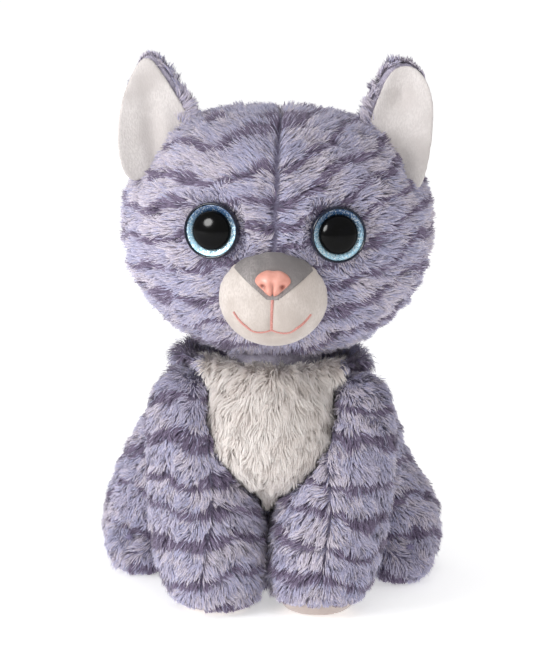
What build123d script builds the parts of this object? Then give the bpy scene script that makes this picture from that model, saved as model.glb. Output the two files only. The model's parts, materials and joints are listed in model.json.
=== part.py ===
from build123d import *
import math
import os

# A seated plush cat. Millimetres, +Z up, facing -Y, its own left side on +X.
# The origin is the centre of the flat seat panel, on the surface it sits on.

# ---------------------------------------------------------------- covers and fits
cover_thickness = 3.5        # backing cloth and pressed pile
sole_thickness = 2.5
body_gap = 1.2               # between bodies that move against each other
ball_gap = 0.5               # neck ball in its two sockets

# ---------------------------------------------------------------- head
head_half_width = 70.0
head_half_depth = 55.0
head_low = 113.0
head_widest = 178.0
head_high = 226.0
head_centre_y = -18.0
head_power_low = 2.15
head_power_high = 2.5
face_back_y = -4.0           # the seam between the face covers and the back cover

# ---------------------------------------------------------------- muzzle, nose, mouth
muzzle_half_width = 25.0
muzzle_half_depth = 18.0
muzzle_half_height = 23.8
muzzle_centre_y = -65.0
muzzle_centre_z = 150.5
muzzle_thickness = 2.0
bridge_half_width = 18.5
bridge_corner_z = 164.0
bridge_low_z = 150.0
bridge_top_half_width = 12.0
bridge_rise = 14.0           # from its corners to its top edge

nose_half_width = 8.3
nose_height = 11.5
nose_thickness = 4.5
nose_corner_height = 2.3     # from the middle of the nose up to its widest corners
nose_brow_half_width = 6.6
nose_foot_half_width = 2.9
nose_corner_radius = 1.5
nose_edge_radius = 1.2
nose_centre_z = 157.8
nose_seat_depth = 2.0        # how far the nose sits in the muzzle pile
nose_shank_radius = 2.5
nose_shank_length = 12.0
nose_washer_radius = 5.5

mouth_drop_top_z = 152.5
mouth_drop_low_z = 137.3
mouth_half_width = 17.0
mouth_end_z = 143.9
mouth_sag_x = 9.4            # where the smile is lowest
mouth_sag = 1.6
mouth_line_width = 1.6
mouth_line_height = 0.8

# ---------------------------------------------------------------- eyes
eye_radius = 12.6
eye_spacing = 56.5
eye_height = 178.5
eye_turn = 17.0              # degrees outward
eye_lift = 5.0               # degrees upward
eye_rim_height = 4.6
eye_rim_wall = 0.9
eye_sink = 2.2               # how far the base sits in the pile
pupil_radius = 7.6
pupil_height = 4.2
glitter_thickness = 1.6
eye_floor = 2.4
eye_shank_radius = 2.8
eye_shank_length = 14.0
eye_washer_radius = 8.0
washer_thickness = 1.6
washer_setback = 2.0         # from the inside of the cover to the washer

# ---------------------------------------------------------------- ears
ear_inner_base = (33.0, 208.0)
ear_inner_edge = (42.0, 236.0)
ear_tip = (55.5, 250.0)
ear_outer_edge = (69.0, 217.0)
ear_outer_base = (58.0, 184.0)
ear_tip_radius = 3.5
ear_plane_y = -16.0
ear_turn = 14.0              # degrees the lining looks outward
ear_fur_thickness = 5.0
ear_lining_thickness = 2.5
ear_rim = 3.0
ear_root_gap = 3.0
ear_root_x = 51.0
ear_root_z = 206.0

# ---------------------------------------------------------------- neck
neck_radius = 22.0
neck_y = -16.0
neck_z = 112.0

# ---------------------------------------------------------------- torso
torso_half_width = 47.0
torso_half_depth = 39.0
torso_low = -8.0
torso_widest = 55.0
torso_high = 130.0
torso_lean = -20.0           # how far the top leans forward
torso_power_low = 2.3
torso_power_high = 3.2
head_bowl_gap = 4.0          # the room that the turning, nodding head needs
head_bowl_radius = max(head_half_width, head_half_depth) + head_bowl_gap
head_bowl_drop = 5.0
chest_half_width = 31.0
chest_radius = 34.0          # of the round chest that the front legs swing about
chest_low_z = 47.0
chest_back_y = -26.0
leg_notch_half_width = 9.0
leg_notch_back_y = -20.0

pouch_half_width = 18.0
pouch_half_depth = 14.0
pouch_half_height = 12.0
pouch_centre_z = 21.0

label_width = 14.0
label_height = 20.0
label_thickness = 0.8
label_low_z = 38.0

# ---------------------------------------------------------------- front legs
front_half_width = 25.5
front_half_depth = 25.5
front_low = -5.0
front_widest = 32.0
front_high = 108.0
front_foot_x = 22.2
front_foot_y = -50.0
front_top_x = 38.0
front_top_y = -32.0
front_power_low = 2.3
front_power_high = 2.9
shoulder_y = -34.0
shoulder_z = 86.0
front_swing = 35.0

# ---------------------------------------------------------------- hind legs
hind_half_width = 23.5
hind_half_depth = 31.0
hind_low = -6.0
hind_widest = 27.0
hind_high = 80.0
hind_foot_x = 62.0
hind_top_x = 46.0
hind_centre_y = 28.0
hind_power = 2.2
toe_x = 62.0
toe_y = 3.0
toe_z = 12.0
toe_half_width = 15.0
toe_half_depth = 13.0
toe_half_height = 14.5
hip_x = 37.0
hip_y = 50.0
hind_splay = 20.0
tack_radius = 2.2
tack_depth = 5.0
tack_offset_x = 4.0
tack_height = 20.0

# ---------------------------------------------------------------- tail
tail_radius = 10.5
tail_start_y = 38.5
tail_back_y = 65.0
tail_root_z = 17.0
tail_tip_z = 92.0
tail_bend_radius = 11.0
tail_tip_y = 71.0

FAR = 400.0                  # larger than the whole toy
FORWARD = (0, -1, 0)
BACKWARD = (0, 1, 0)


def pod(half_width, half_depth, low, widest, high, foot, top, power_low, power_high,
        inset=0.0, sections=9):
    """A stuffed form: ellipses stacked on Z, closed to a point at both ends.

    foot and top are the (x, y) centres at the low and the high end.
    """
    low, high = low + inset, high - inset
    stack = [Vertex(foot[0], foot[1], low)]
    for step in range(1, sections):
        angle = math.pi * step / sections
        power = power_low if angle < math.pi / 2 else power_high
        reach = widest - low if angle < math.pi / 2 else high - widest
        rise = -math.copysign(abs(math.cos(angle)) ** (2 / power), math.cos(angle))
        girth = math.sin(angle) ** (2 / power)
        z = widest + rise * reach
        along = (z - low) / (high - low)
        centre_x = foot[0] + along * (top[0] - foot[0])
        centre_y = foot[1] + along * (top[1] - foot[1])
        ellipse = Ellipse((half_width - inset) * girth, (half_depth - inset) * girth)
        stack.append(Pos(centre_x, centre_y, z) * ellipse)
    stack.append(Vertex(top[0], top[1], high))
    return loft(stack)


def ellipsoid(centre, half_sizes, inset=0.0):
    """A solid ellipsoid with its centre and half sizes."""
    sizes = [half - inset for half in half_sizes]
    return Pos(*centre) * scale(Sphere(1.0), by=tuple(sizes))


def slab(low_corner, high_corner):
    """A box from its lowest to its highest corner."""
    sizes = [high - low for low, high in zip(low_corner, high_corner)]
    return Pos(*low_corner) * Box(*sizes, align=(Align.MIN, Align.MIN, Align.MIN))


def above(z):
    """Everything above a height."""
    return slab((-FAR, -FAR, z), (FAR, FAR, z + 2 * FAR))


def left_half():
    """Everything on the toy's own left."""
    return slab((0, -FAR, -FAR), (FAR, FAR, FAR))


def right_of(shape):
    """The same shape on the other side of the toy."""
    return mirror(shape, about=Plane.YZ)


def turned(shape, point, axis, degrees):
    """The shape turned about an axis through a point."""
    return shape.rotate(Axis(point, axis), degrees)


def save(shape, name):
    """Write one piece to its own file."""
    solids = list(shape.solids())
    whole = solids[0] if len(solids) == 1 else Compound(children=solids)
    export_step(whole, f"parts/{name}.step")


# ---------------------------------------------------------------- forms, by how far inside they are
def head_form(inset):
    form = pod(head_half_width, head_half_depth, head_low, head_widest, head_high,
               (0, head_centre_y), (0, head_centre_y), head_power_low, head_power_high, inset,
               sections=13)
    socket = Pos(0, neck_y, neck_z) * Sphere(neck_radius + ball_gap + inset)
    return form - socket


def muzzle_form(inset):
    return ellipsoid((0, muzzle_centre_y, muzzle_centre_z),
                     (muzzle_half_width, muzzle_half_depth, muzzle_half_height), inset)


def chest_form(inset):
    """The round chest, the same all round the axis that the front legs swing on."""
    return ellipsoid((0, shoulder_y, shoulder_z), (chest_half_width, chest_radius, chest_radius), inset)


def front_leg_form(inset):
    """A front leg, hollowed on its inside to fit the round chest."""
    form = pod(front_half_width, front_half_depth, front_low, front_widest, front_high,
               (front_foot_x, front_foot_y), (front_top_x, front_top_y),
               front_power_low, front_power_high, inset)
    form = (form - chest_form(-body_gap - inset)) & above(max(inset, 0.0))
    return max(form.solids(), key=lambda solid: solid.volume)


def hind_leg_form(inset):
    haunch = pod(hind_half_width, hind_half_depth, hind_low, hind_widest, hind_high,
                 (hind_foot_x, hind_centre_y), (hind_top_x, hind_centre_y),
                 hind_power, hind_power, inset)
    toe = ellipsoid((toe_x, toe_y, toe_z), (toe_half_width, toe_half_depth, toe_half_height), inset)
    return (haunch + toe) & above(max(inset, 0.0))


def torso_form(inset):
    """The torso, with room for the limbs and the head."""
    form = pod(torso_half_width, torso_half_depth, torso_low, torso_widest, torso_high,
               (0, -torso_lean * -torso_low / (torso_high - torso_low)),
               (0, torso_lean), torso_power_low, torso_power_high, inset)
    form = (form + chest_form(inset)) & above(max(inset, 0.0))
    bowl_low = head_low - head_bowl_drop - inset
    form = form - pod(head_bowl_radius + inset, head_bowl_radius + inset, bowl_low, head_widest, head_high,
                      (0, neck_y), (0, neck_y), head_power_low, head_power_high, sections=13)
    form = form - Pos(0, neck_y, neck_z) * Sphere(neck_radius + ball_gap + inset)
    form = form - slab((-leg_notch_half_width - inset, -FAR, -FAR),
                       (leg_notch_half_width + inset, leg_notch_back_y + inset, chest_low_z - inset))
    front_leg = front_leg_form(-body_gap - inset)
    hind_leg = hind_leg_form(-body_gap - inset)
    room = [turned(front_leg, (0, shoulder_y, shoulder_z), (1, 0, 0), -front_swing * share)
            for share in (0.0, 0.33, 0.67, 1.0)]
    room += [turned(hind_leg, (hip_x, hip_y, 0), (0, 0, 1), hind_splay * share)
             for share in (0.0, 0.5, 1.0)]
    for limb in room:
        form = form - limb - right_of(limb)
    return max(form.solids(), key=lambda solid: solid.volume)


def tail_form(inset):
    radius = tail_radius - inset
    line = FilletPolyline((0, tail_start_y + tail_radius, tail_root_z), (0, tail_back_y, tail_root_z),
                          (0, tail_tip_y, tail_tip_z - tail_radius), radius=tail_bend_radius)
    start = Plane(line @ 0, z_dir=line % 0)
    tube = sweep(start * Circle(radius), path=line)
    for end in (line @ 0, line @ 1):
        tube = tube + Pos(*end) * Sphere(radius)
    return tube


# ---------------------------------------------------------------- head covers and what is pushed through them
def eye_place():
    """The left eye's own frame: its Z looks out of the face."""
    x = eye_spacing / 2
    beam = slab((x - 0.5, -FAR, eye_height - 0.5), (x + 0.5, head_centre_y, eye_height + 0.5))
    y = (head_form(0) & beam).bounding_box().min.Y
    out = Vector(math.sin(math.radians(eye_turn)), -math.cos(math.radians(eye_turn)),
                 math.sin(math.radians(eye_lift)))
    return Plane((x, y, eye_height), x_dir=(1, math.tan(math.radians(eye_turn)), 0), z_dir=out)


def rod(place, radius, low, high):
    """A round rod along a frame's Z, between two heights."""
    return place * Pos(0, 0, low) * Cylinder(radius, high - low, align=(Align.CENTER, Align.CENTER, Align.MIN))


def dome(place, radius, low, height):
    """A round dome along a frame's Z."""
    ball_radius = (radius ** 2 + height ** 2) / (2 * height)
    ball = Pos(0, 0, low + height - ball_radius) * Sphere(ball_radius)
    return place * (ball & Pos(0, 0, low) * Cylinder(radius * 2, height * 2,
                                                     align=(Align.CENTER, Align.CENTER, Align.MIN)))


def eye_pieces():
    """The left eye: base, glitter ring, pupil and lock washer, and the room they take up."""
    place = eye_place()
    low = -eye_sink
    seat = low + eye_floor
    cup = rod(place, eye_radius, low, low + eye_rim_height)
    hollow = rod(place, eye_radius - eye_rim_wall, seat, low + eye_rim_height + 1)
    shank = rod(place, eye_shank_radius, low - eye_shank_length, low)
    base = cup - hollow + shank
    disc = rod(place, eye_radius - eye_rim_wall, seat, seat + glitter_thickness)
    ring = disc - rod(place, pupil_radius, seat - 1, seat + glitter_thickness + 1)
    pupil = (rod(place, pupil_radius, seat, seat + glitter_thickness)
             + dome(place, pupil_radius, seat + glitter_thickness, pupil_height))
    washer_low = -cover_thickness - washer_setback - eye_sink - washer_thickness
    washer = (rod(place, eye_washer_radius, washer_low, washer_low + washer_thickness)
              - rod(place, eye_shank_radius, washer_low - 1, washer_low + washer_thickness + 1))
    return base, ring, pupil, washer, cup + shank


def nose_pieces():
    """The moulded nose with its shank, and its lock washer."""
    front = muzzle_centre_y - muzzle_half_depth * math.sqrt(
        1 - ((nose_centre_z - muzzle_centre_z) / muzzle_half_height) ** 2)
    back = front + nose_seat_depth
    half = nose_height / 2
    corners = [(-nose_half_width, nose_corner_height), (-nose_brow_half_width, half), (nose_brow_half_width, half),
               (nose_half_width, nose_corner_height), (nose_foot_half_width, -half), (-nose_foot_half_width, -half)]
    face = Plane((0, back, nose_centre_z), x_dir=(1, 0, 0), z_dir=(0, -1, 0))
    outline = fillet(Polygon(*corners, align=None).vertices(), nose_corner_radius)
    block = extrude(face * outline, nose_thickness, dir=FORWARD)
    block = fillet(block.faces().sort_by(Axis.Y)[0].edges(), nose_edge_radius)
    away = Plane((0, back, nose_centre_z), z_dir=(0, 1, 0))
    shank = rod(away, nose_shank_radius, -nose_seat_depth, nose_shank_length)
    washer_low = muzzle_thickness + nose_seat_depth + washer_setback
    washer = (rod(away, nose_washer_radius, washer_low, washer_low + washer_thickness)
              - rod(away, nose_shank_radius, washer_low - 1, washer_low + washer_thickness + 1))
    return block + shank, washer


def front_prism(outline):
    """An outline drawn on XZ, carried through the whole muzzle."""
    face = Plane((0, head_centre_y, 0), x_dir=(1, 0, 0), z_dir=(0, -1, 0))
    return extrude(face * outline, FAR, dir=FORWARD)


def mouth_band():
    """The drop from the nose and the smile, as a flat band."""
    drop = Pos(0, (mouth_drop_top_z + mouth_drop_low_z) / 2) * Rectangle(
        mouth_line_width, mouth_drop_top_z - mouth_drop_low_z)
    smile = ThreePointArc((0, mouth_drop_low_z), (mouth_sag_x, mouth_drop_low_z - mouth_sag),
                          (mouth_half_width, mouth_end_z))
    arc = trace(smile, line_width=mouth_line_width)
    return front_prism(drop + arc + mirror(arc, about=Plane.YZ))


def build_head():
    outer = head_form(0)
    core = head_form(cover_thickness)
    cover = outer - core
    base, ring, pupil, washer, eye_room = eye_pieces()
    nose, nose_washer = nose_pieces()
    muzzle = muzzle_form(0) - outer
    muzzle_core = muzzle_form(muzzle_thickness) - outer
    muzzle_skin = muzzle - muzzle_core - nose
    bridge_zone = front_prism(Polygon(
        (-bridge_half_width, bridge_corner_z), (-bridge_top_half_width, bridge_corner_z + bridge_rise),
        (bridge_top_half_width, bridge_corner_z + bridge_rise), (bridge_half_width, bridge_corner_z),
        (0, bridge_low_z), align=None))
    stitching = (muzzle_form(-mouth_line_height) - muzzle_form(0) - outer) & mouth_band()
    save(muzzle_skin - bridge_zone, "muzzle_cover")
    save(muzzle_skin & bridge_zone, "muzzle_bridge")
    save(muzzle_core - nose - nose_washer, "muzzle_stuffing")
    save(nose, "nose")
    save(nose_washer, "nose_washer")
    save(stitching - nose, "mouth_stitching")

    cover = cover - nose - nose_washer
    face = cover & slab((-FAR, -FAR, -FAR), (FAR, face_back_y, FAR))
    left_face = (face & left_half()) - eye_room
    save(left_face, "left_face_cover")
    save(right_of(left_face), "right_face_cover")
    save(cover - slab((-FAR, -FAR, -FAR), (FAR, face_back_y, FAR)), "head_back_cover")
    core = core - nose - nose_washer - eye_room - washer - right_of(eye_room) - right_of(washer)
    save(core, "head_stuffing")
    for piece, name in ((base, "eye_base"), (ring, "eye_glitter_ring"), (pupil, "eye_pupil"),
                        (washer, "eye_washer")):
        save(piece, f"left_{name}")
        save(right_of(piece), f"right_{name}")


def build_ears():
    room = pod(head_half_width + ear_root_gap, head_half_depth + ear_root_gap, head_low - ear_root_gap,
               head_widest, head_high + ear_root_gap, (0, head_centre_y), (0, head_centre_y),
               head_power_low, head_power_high, sections=13)
    tip_inner = (ear_tip[0] - ear_tip_radius, ear_tip[1] - ear_tip_radius / 2)
    tip_outer = (ear_tip[0] + ear_tip_radius, ear_tip[1] - ear_tip_radius)
    edges = [ThreePointArc(ear_inner_base, ear_inner_edge, tip_inner),
             ThreePointArc(tip_inner, ear_tip, tip_outer),
             ThreePointArc(tip_outer, ear_outer_edge, ear_outer_base),
             Line(ear_outer_base, ear_inner_base)]
    outline = make_face(edges)
    lining_outline = offset(outline, amount=-ear_rim)
    face = Plane((0, ear_plane_y, 0), x_dir=(1, 0, 0), z_dir=(0, -1, 0))
    lining = extrude(face * lining_outline, ear_lining_thickness, dir=FORWARD)
    fur = extrude(face * outline, ear_fur_thickness, dir=BACKWARD)
    for blank, name in ((fur, "ear_back"), (lining, "ear_lining")):
        piece = turned(blank, (ear_root_x, ear_plane_y, ear_root_z), (0, 0, 1), ear_turn) - room
        piece = max(piece.solids(), key=lambda solid: solid.volume)
        save(piece, f"left_{name}")
        save(right_of(piece), f"right_{name}")


def build_torso():
    outer = torso_form(0)
    core = torso_form(cover_thickness)
    shell = outer - core
    seat_zone = slab((-FAR, -FAR, 0), (FAR, FAR, cover_thickness))
    chest_zone = slab((-chest_half_width, -FAR, chest_low_z), (chest_half_width, chest_back_y, FAR))
    side = shell - seat_zone - chest_zone
    save(shell & seat_zone, "seat_panel")
    save((shell - seat_zone) & chest_zone, "chest_patch")
    save(side & left_half(), "left_side_cover")
    save(side - left_half(), "right_side_cover")
    pouch = ellipsoid((0, 0, pouch_centre_z), (pouch_half_width, pouch_half_depth, pouch_half_height))
    save(core - pouch, "body_stuffing")
    save(pouch, "bean_pouch")

    middle_z = label_low_z + label_height / 2
    beam = slab((0, 0, middle_z - label_height / 2), (label_width / 2, FAR, middle_z + label_height / 2))
    back_y = (outer & beam).bounding_box().max.Y
    label = slab((-label_width / 2, back_y, label_low_z),
                 (label_width / 2, back_y + label_thickness, label_low_z + label_height))
    save(label, "care_label")
    save(Pos(0, neck_y, neck_z) * Sphere(neck_radius), "neck_stuffing")


def build_front_legs():
    outer = front_leg_form(0)
    core = front_leg_form(cover_thickness)
    sole_zone = slab((-FAR, -FAR, 0), (FAR, FAR, sole_thickness))
    sole = outer & sole_zone
    cover = outer - core - sole_zone
    for piece, name in ((sole, "front_sole"), (cover, "front_leg_cover"), (core, "front_leg_stuffing")):
        save(piece, f"left_{name}")
        save(right_of(piece), f"right_{name}")


def build_hind_legs():
    outer = hind_leg_form(0)
    core = hind_leg_form(cover_thickness)
    place = Plane((toe_x + tack_offset_x, toe_y - toe_half_depth, tack_height), z_dir=(0, -1, 0))
    tack = rod(place, tack_radius, -FAR, FAR) & (outer - hind_leg_form(tack_depth))
    tack = tack & slab((-FAR, -FAR, -FAR), (FAR, toe_y + toe_half_depth, FAR))
    cover = outer - core - tack
    for piece, name in ((cover, "hind_leg_cover"), (core - tack, "hind_leg_stuffing"), (tack, "toe_tack")):
        save(piece, f"left_{name}")
        save(right_of(piece), f"right_{name}")


def build_tail():
    core = tail_form(cover_thickness)
    save(tail_form(0) - core, "tail_cover")
    save(core, "tail_stuffing")


os.makedirs("parts", exist_ok=True)
build_head()
build_ears()
build_torso()
build_front_legs()
build_hind_legs()
build_tail()
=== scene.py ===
"""A seated plush cat: its looks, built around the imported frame."""
import json
import logging
import math
from dataclasses import dataclass, replace
from enum import Enum
from typing import Callable, Sequence

import bmesh
import bpy
import numpy as np
from mathutils import Matrix, Quaternion, Vector
from mathutils.bvhtree import BVHTree
from mathutils.kdtree import KDTree


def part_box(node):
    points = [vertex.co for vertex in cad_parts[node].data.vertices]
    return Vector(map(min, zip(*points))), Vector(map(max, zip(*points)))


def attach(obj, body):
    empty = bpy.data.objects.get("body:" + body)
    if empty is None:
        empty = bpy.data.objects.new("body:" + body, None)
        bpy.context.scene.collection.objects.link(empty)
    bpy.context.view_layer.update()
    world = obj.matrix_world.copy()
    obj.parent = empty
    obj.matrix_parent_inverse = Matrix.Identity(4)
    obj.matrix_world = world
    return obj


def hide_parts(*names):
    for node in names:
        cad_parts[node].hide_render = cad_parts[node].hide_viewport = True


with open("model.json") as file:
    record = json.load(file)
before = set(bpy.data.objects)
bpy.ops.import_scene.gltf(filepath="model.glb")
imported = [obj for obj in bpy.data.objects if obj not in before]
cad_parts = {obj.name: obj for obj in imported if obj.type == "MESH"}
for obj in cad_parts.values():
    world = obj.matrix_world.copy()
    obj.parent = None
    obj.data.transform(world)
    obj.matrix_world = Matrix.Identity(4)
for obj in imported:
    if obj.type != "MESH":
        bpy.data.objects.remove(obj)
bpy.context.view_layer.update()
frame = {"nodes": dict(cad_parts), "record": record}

MM = 0.001
LOG = logging.getLogger("plush_cat")

Colour = tuple[float, float, float]
Array = np.ndarray


class Side(Enum):
    """The toy's own left or right, with the sign of X there."""

    LEFT = 1
    RIGHT = -1

    @property
    def word(self) -> str:
        """The side's name as nodes and bodies spell it."""
        return self.name.lower()


# ---------------------------------------------------------------- shader maths
class Wire:
    """A shader socket that takes part in Python arithmetic."""

    def __init__(self, paint: "Paint", socket: bpy.types.NodeSocket) -> None:
        """Keep the material being painted and the socket.

        Args:
            paint: The material's node maker.
            socket: An output socket with a number.
        """
        self.paint = paint
        self.socket = socket

    def maths(self, operation: str, *values: object) -> "Wire":
        """Add one Math node.

        Args:
            operation: The Math node's operation.
            values: Its operands, numbers or wires.

        Returns:
            The node's result.
        """
        return self.paint.node("ShaderNodeMath", {"operation": operation}, dict(enumerate(values)))

    def __add__(self, other: object) -> "Wire":
        """self + other."""
        return self.maths("ADD", self, other)

    def __rsub__(self, other: object) -> "Wire":
        """other - self."""
        return self.maths("SUBTRACT", other, self)

    def __mul__(self, other: object) -> "Wire":
        """self * other."""
        return self.maths("MULTIPLY", self, other)

    __radd__ = __add__
    __rmul__ = __mul__

    def above(self, edge: float, soft: float) -> "Wire":
        """0 under the edge and 1 over it.

        Args:
            edge: Where it starts to rise.
            soft: How far it takes to reach 1.

        Returns:
            A number from 0 to 1.
        """
        return self.paint.node("ShaderNodeMapRange", {"interpolation_type": "SMOOTHSTEP"},
                               {"Value": self, "From Min": edge, "From Max": edge + soft}, "Result")


class Paint:
    """Makes one material's nodes."""

    def __init__(self, name: str) -> None:
        """Start a material with a Principled shader.

        Args:
            name: The material's name.
        """
        self.material = bpy.data.materials.new(name)
        self.material.use_nodes = True
        self.tree = self.material.node_tree
        self.shader = self.tree.nodes["Principled BSDF"]
        self.place = self.node("ShaderNodeTexCoord", {}, {}, "Object")

    def node(self, kind: str, settings: dict, inputs: dict, output: object = 0) -> Wire:
        """Add one node.

        Args:
            kind: The node's type.
            settings: Its own settings, set first.
            inputs: Values or wires by socket name or number.
            output: The output's name or number.

        Returns:
            The chosen output.
        """
        made = self.tree.nodes.new(kind)
        for key, value in settings.items():
            setattr(made, key, value)
        self.feed(made, inputs)
        return Wire(self, made.outputs[output])

    def feed(self, node: bpy.types.Node, inputs: dict) -> None:
        """Set or link a node's sockets.

        Args:
            node: The node.
            inputs: Values or wires by socket name or number.
        """
        for key, value in inputs.items():
            socket = node.inputs[key]
            if isinstance(value, Wire):
                self.tree.links.new(value.socket, socket)
            elif isinstance(value, tuple) and len(value) == 3 and socket.type == "RGBA":
                socket.default_value = (*value, 1.0)
            else:
                socket.default_value = value

    def mix(self, share: object, low: object, high: object) -> Wire:
        """Mix two colours.

        Args:
            share: How much of the second one.
            low: The first colour.
            high: The second colour.

        Returns:
            The mixed colour.
        """
        return self.node("ShaderNodeMix", {"data_type": "RGBA"}, {0: share, 6: low, 7: high}, 2)

    def noise(self, scale: float, detail: float = 2.0, stretch: tuple = (1.0, 1.0, 1.0)) -> Wire:
        """Smooth noise in object space.

        Args:
            scale: Waves to the metre.
            detail: How many finer layers.
            stretch: A scale for each axis.

        Returns:
            A number from 0 to 1.
        """
        where = self.node("ShaderNodeMapping", {}, {"Vector": self.place, "Scale": stretch})
        return self.node("ShaderNodeTexNoise", {}, {"Vector": where, "Scale": scale, "Detail": detail}, "Fac")

    def cells(self, scale: float, output: str = "Distance") -> Wire:
        """Voronoi cells in object space.

        Args:
            scale: Cells to the metre.
            output: Distance or Color.

        Returns:
            That output.
        """
        return self.node("ShaderNodeTexVoronoi", {}, {"Vector": self.place, "Scale": scale}, output)

    def bump(self, height: Wire, strength: float, depth: float) -> Wire:
        """A normal from a height.

        Args:
            height: The height, 0 to 1.
            strength: The bump's strength.
            depth: The bump's depth in metres.

        Returns:
            The normal.
        """
        return self.node("ShaderNodeBump", {}, {"Height": height, "Strength": strength, "Distance": depth})

    def finish(self, **inputs: object) -> bpy.types.Material:
        """Set the shader's sockets.

        Args:
            inputs: Values or wires, with _ for a space in the socket's name.

        Returns:
            The material.
        """
        self.feed(self.shader, {key.replace("_", " "): value for key, value in inputs.items()})
        return self.material


# ---------------------------------------------------------------- finishes
@dataclass(frozen=True)
class Strand:
    """One shade of pile fibre: its dyed colour, with the root shades darkened as painted shade deep in the
    pile and the rose shades partly a painted sheen highlight.
    """

    name: str
    colour: Colour
    roughness: float = 0.75
    sheen: float = 0.25

    def material(self) -> bpy.types.Material:
        """The shade's material."""
        paint = Paint(self.name)
        return paint.finish(Base_Color=self.colour, Roughness=self.roughness, Sheen_Weight=self.sheen,
                            Sheen_Roughness=0.5, Specular_IOR_Level=0.25)


@dataclass(frozen=True)
class Backing:
    """Knitted backing under long pile, seen only between the tufts."""

    name: str
    low: Colour
    high: Colour

    def material(self) -> bpy.types.Material:
        """The backing's material."""
        paint = Paint(self.name)
        tone = paint.noise(260.0, 3.0)
        knit = paint.cells(900.0)
        return paint.finish(Base_Color=paint.mix(tone.above(0.35, 0.3), self.low, self.high),
                            Roughness=0.9, Normal=paint.bump(knit, 0.6, 0.0006))


@dataclass(frozen=True)
class Velboa:
    """Short brushed pile, smooth to the eye."""

    name: str
    low: Colour
    high: Colour

    def material(self) -> bpy.types.Material:
        """The short pile's material."""
        paint = Paint(self.name)
        cloud = paint.noise(55.0, 3.0)
        nap = paint.noise(1500.0, 2.0, (1.0, 1.0, 0.45))
        tone = paint.mix(cloud.above(0.3, 0.4), self.low, self.high)
        shade = paint.mix(nap.above(0.38, 0.25) * 0.5, tone, self.low)
        return paint.finish(Base_Color=shade, Roughness=0.85 - nap * 0.15, Sheen_Weight=0.35,
                            Sheen_Roughness=0.4, Specular_IOR_Level=0.2,
                            Normal=paint.bump(nap + cloud * 0.5, 0.35, 0.0005))


@dataclass(frozen=True)
class Moulded:
    """Moulded plastic with a fine skin."""

    name: str
    colour: Colour
    dark: Colour
    roughness: float
    coat: float = 0.0
    grain: float = 0.1
    shine: float = 0.5

    def material(self) -> bpy.types.Material:
        """The plastic's material."""
        paint = Paint(self.name)
        cloud = paint.noise(220.0, 3.0)
        skin = paint.noise(2600.0, 2.0)
        return paint.finish(Base_Color=paint.mix(cloud.above(0.4, 0.35), self.dark, self.colour),
                            Roughness=self.roughness + skin * 0.08, Coat_Weight=self.coat,
                            Coat_Roughness=0.03, Specular_IOR_Level=self.shine,
                            Normal=paint.bump(skin, self.grain, 0.0002))


@dataclass(frozen=True)
class NoseVinyl:
    """Soft vinyl with a satin skin, darkened with painted shade in its nostrils and crease."""

    name: str
    colour: Colour
    worn: Colour
    pit: Colour

    def material(self) -> bpy.types.Material:
        """The vinyl's material."""
        paint = Paint(self.name)
        cloud = paint.noise(260.0, 3.0)
        skin = paint.noise(2400.0, 2.0)
        # Painted shade: a point attribute darkens the nostrils and the crease.
        shade_mask = paint.node("ShaderNodeAttribute", {"attribute_name": "pit"}, {}, "Fac")
        tone = paint.mix(cloud.above(0.35, 0.4), self.worn, self.colour)
        return paint.finish(Base_Color=paint.mix(shade_mask, tone, self.pit), Roughness=0.38 + skin * 0.12,
                            Coat_Weight=0.12, Specular_IOR_Level=0.45, Normal=paint.bump(skin, 0.15, 0.0002))


@dataclass(frozen=True)
class Glitter:
    """Fine foil flakes set under a clear coat, darker towards the top of the eye as painted shade and paler
    at its bottom as a painted reflection.
    """

    name: str
    # deep is the top's colour, painted shade; light is the bottom's colour, a painted reflection.
    deep: Colour
    light: Colour
    flake: Colour

    def material(self) -> bpy.types.Material:
        """The glitter's material."""
        paint = Paint(self.name)
        size = 2600.0
        spark = paint.cells(size, "Color")
        parts = paint.node("ShaderNodeSeparateColor", {}, {"Color": spark}, "Red")
        # Painted shade and reflection: the lift attribute darkens the top and pales the bottom, with fewer
        # bright flakes at the top.
        level = paint.node("ShaderNodeAttribute", {"attribute_name": "lift"}, {}, "Fac")
        base = paint.mix(level, self.light, self.deep)
        shade = paint.mix(parts.above(0.62, 0.3) * (1.0 - level * 0.6), base, self.flake)
        deepened = paint.mix(parts.above(0.0, 0.35), paint.mix(0.55, base, self.deep), shade)
        tilt = paint.node("ShaderNodeVectorMath", {"operation": "SUBTRACT"}, {0: spark, 1: (0.5, 0.5, 0.5)})
        lean = paint.node("ShaderNodeVectorMath", {"operation": "SCALE"}, {0: tilt, "Scale": 0.5})
        normal = paint.node("ShaderNodeNewGeometry", {}, {}, "Normal")
        facet = paint.node("ShaderNodeVectorMath", {"operation": "ADD"}, {0: normal, 1: lean})
        flat = paint.node("ShaderNodeVectorMath", {"operation": "NORMALIZE"}, {0: facet})
        return paint.finish(Base_Color=deepened, Metallic=0.25, Roughness=0.32, Coat_Weight=0.35,
                            Coat_Roughness=0.05, Normal=flat)


@dataclass(frozen=True)
class Thread:
    """Twisted embroidery thread."""

    name: str
    colour: Colour
    dark: Colour

    def material(self) -> bpy.types.Material:
        """The thread's material."""
        paint = Paint(self.name)
        twist = paint.noise(3500.0, 2.0, (1.0, 1.0, 0.4))
        return paint.finish(Base_Color=paint.mix(twist.above(0.35, 0.3), self.dark, self.colour),
                            Roughness=0.5, Sheen_Weight=0.3, Normal=paint.bump(twist, 0.5, 0.0002))


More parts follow.
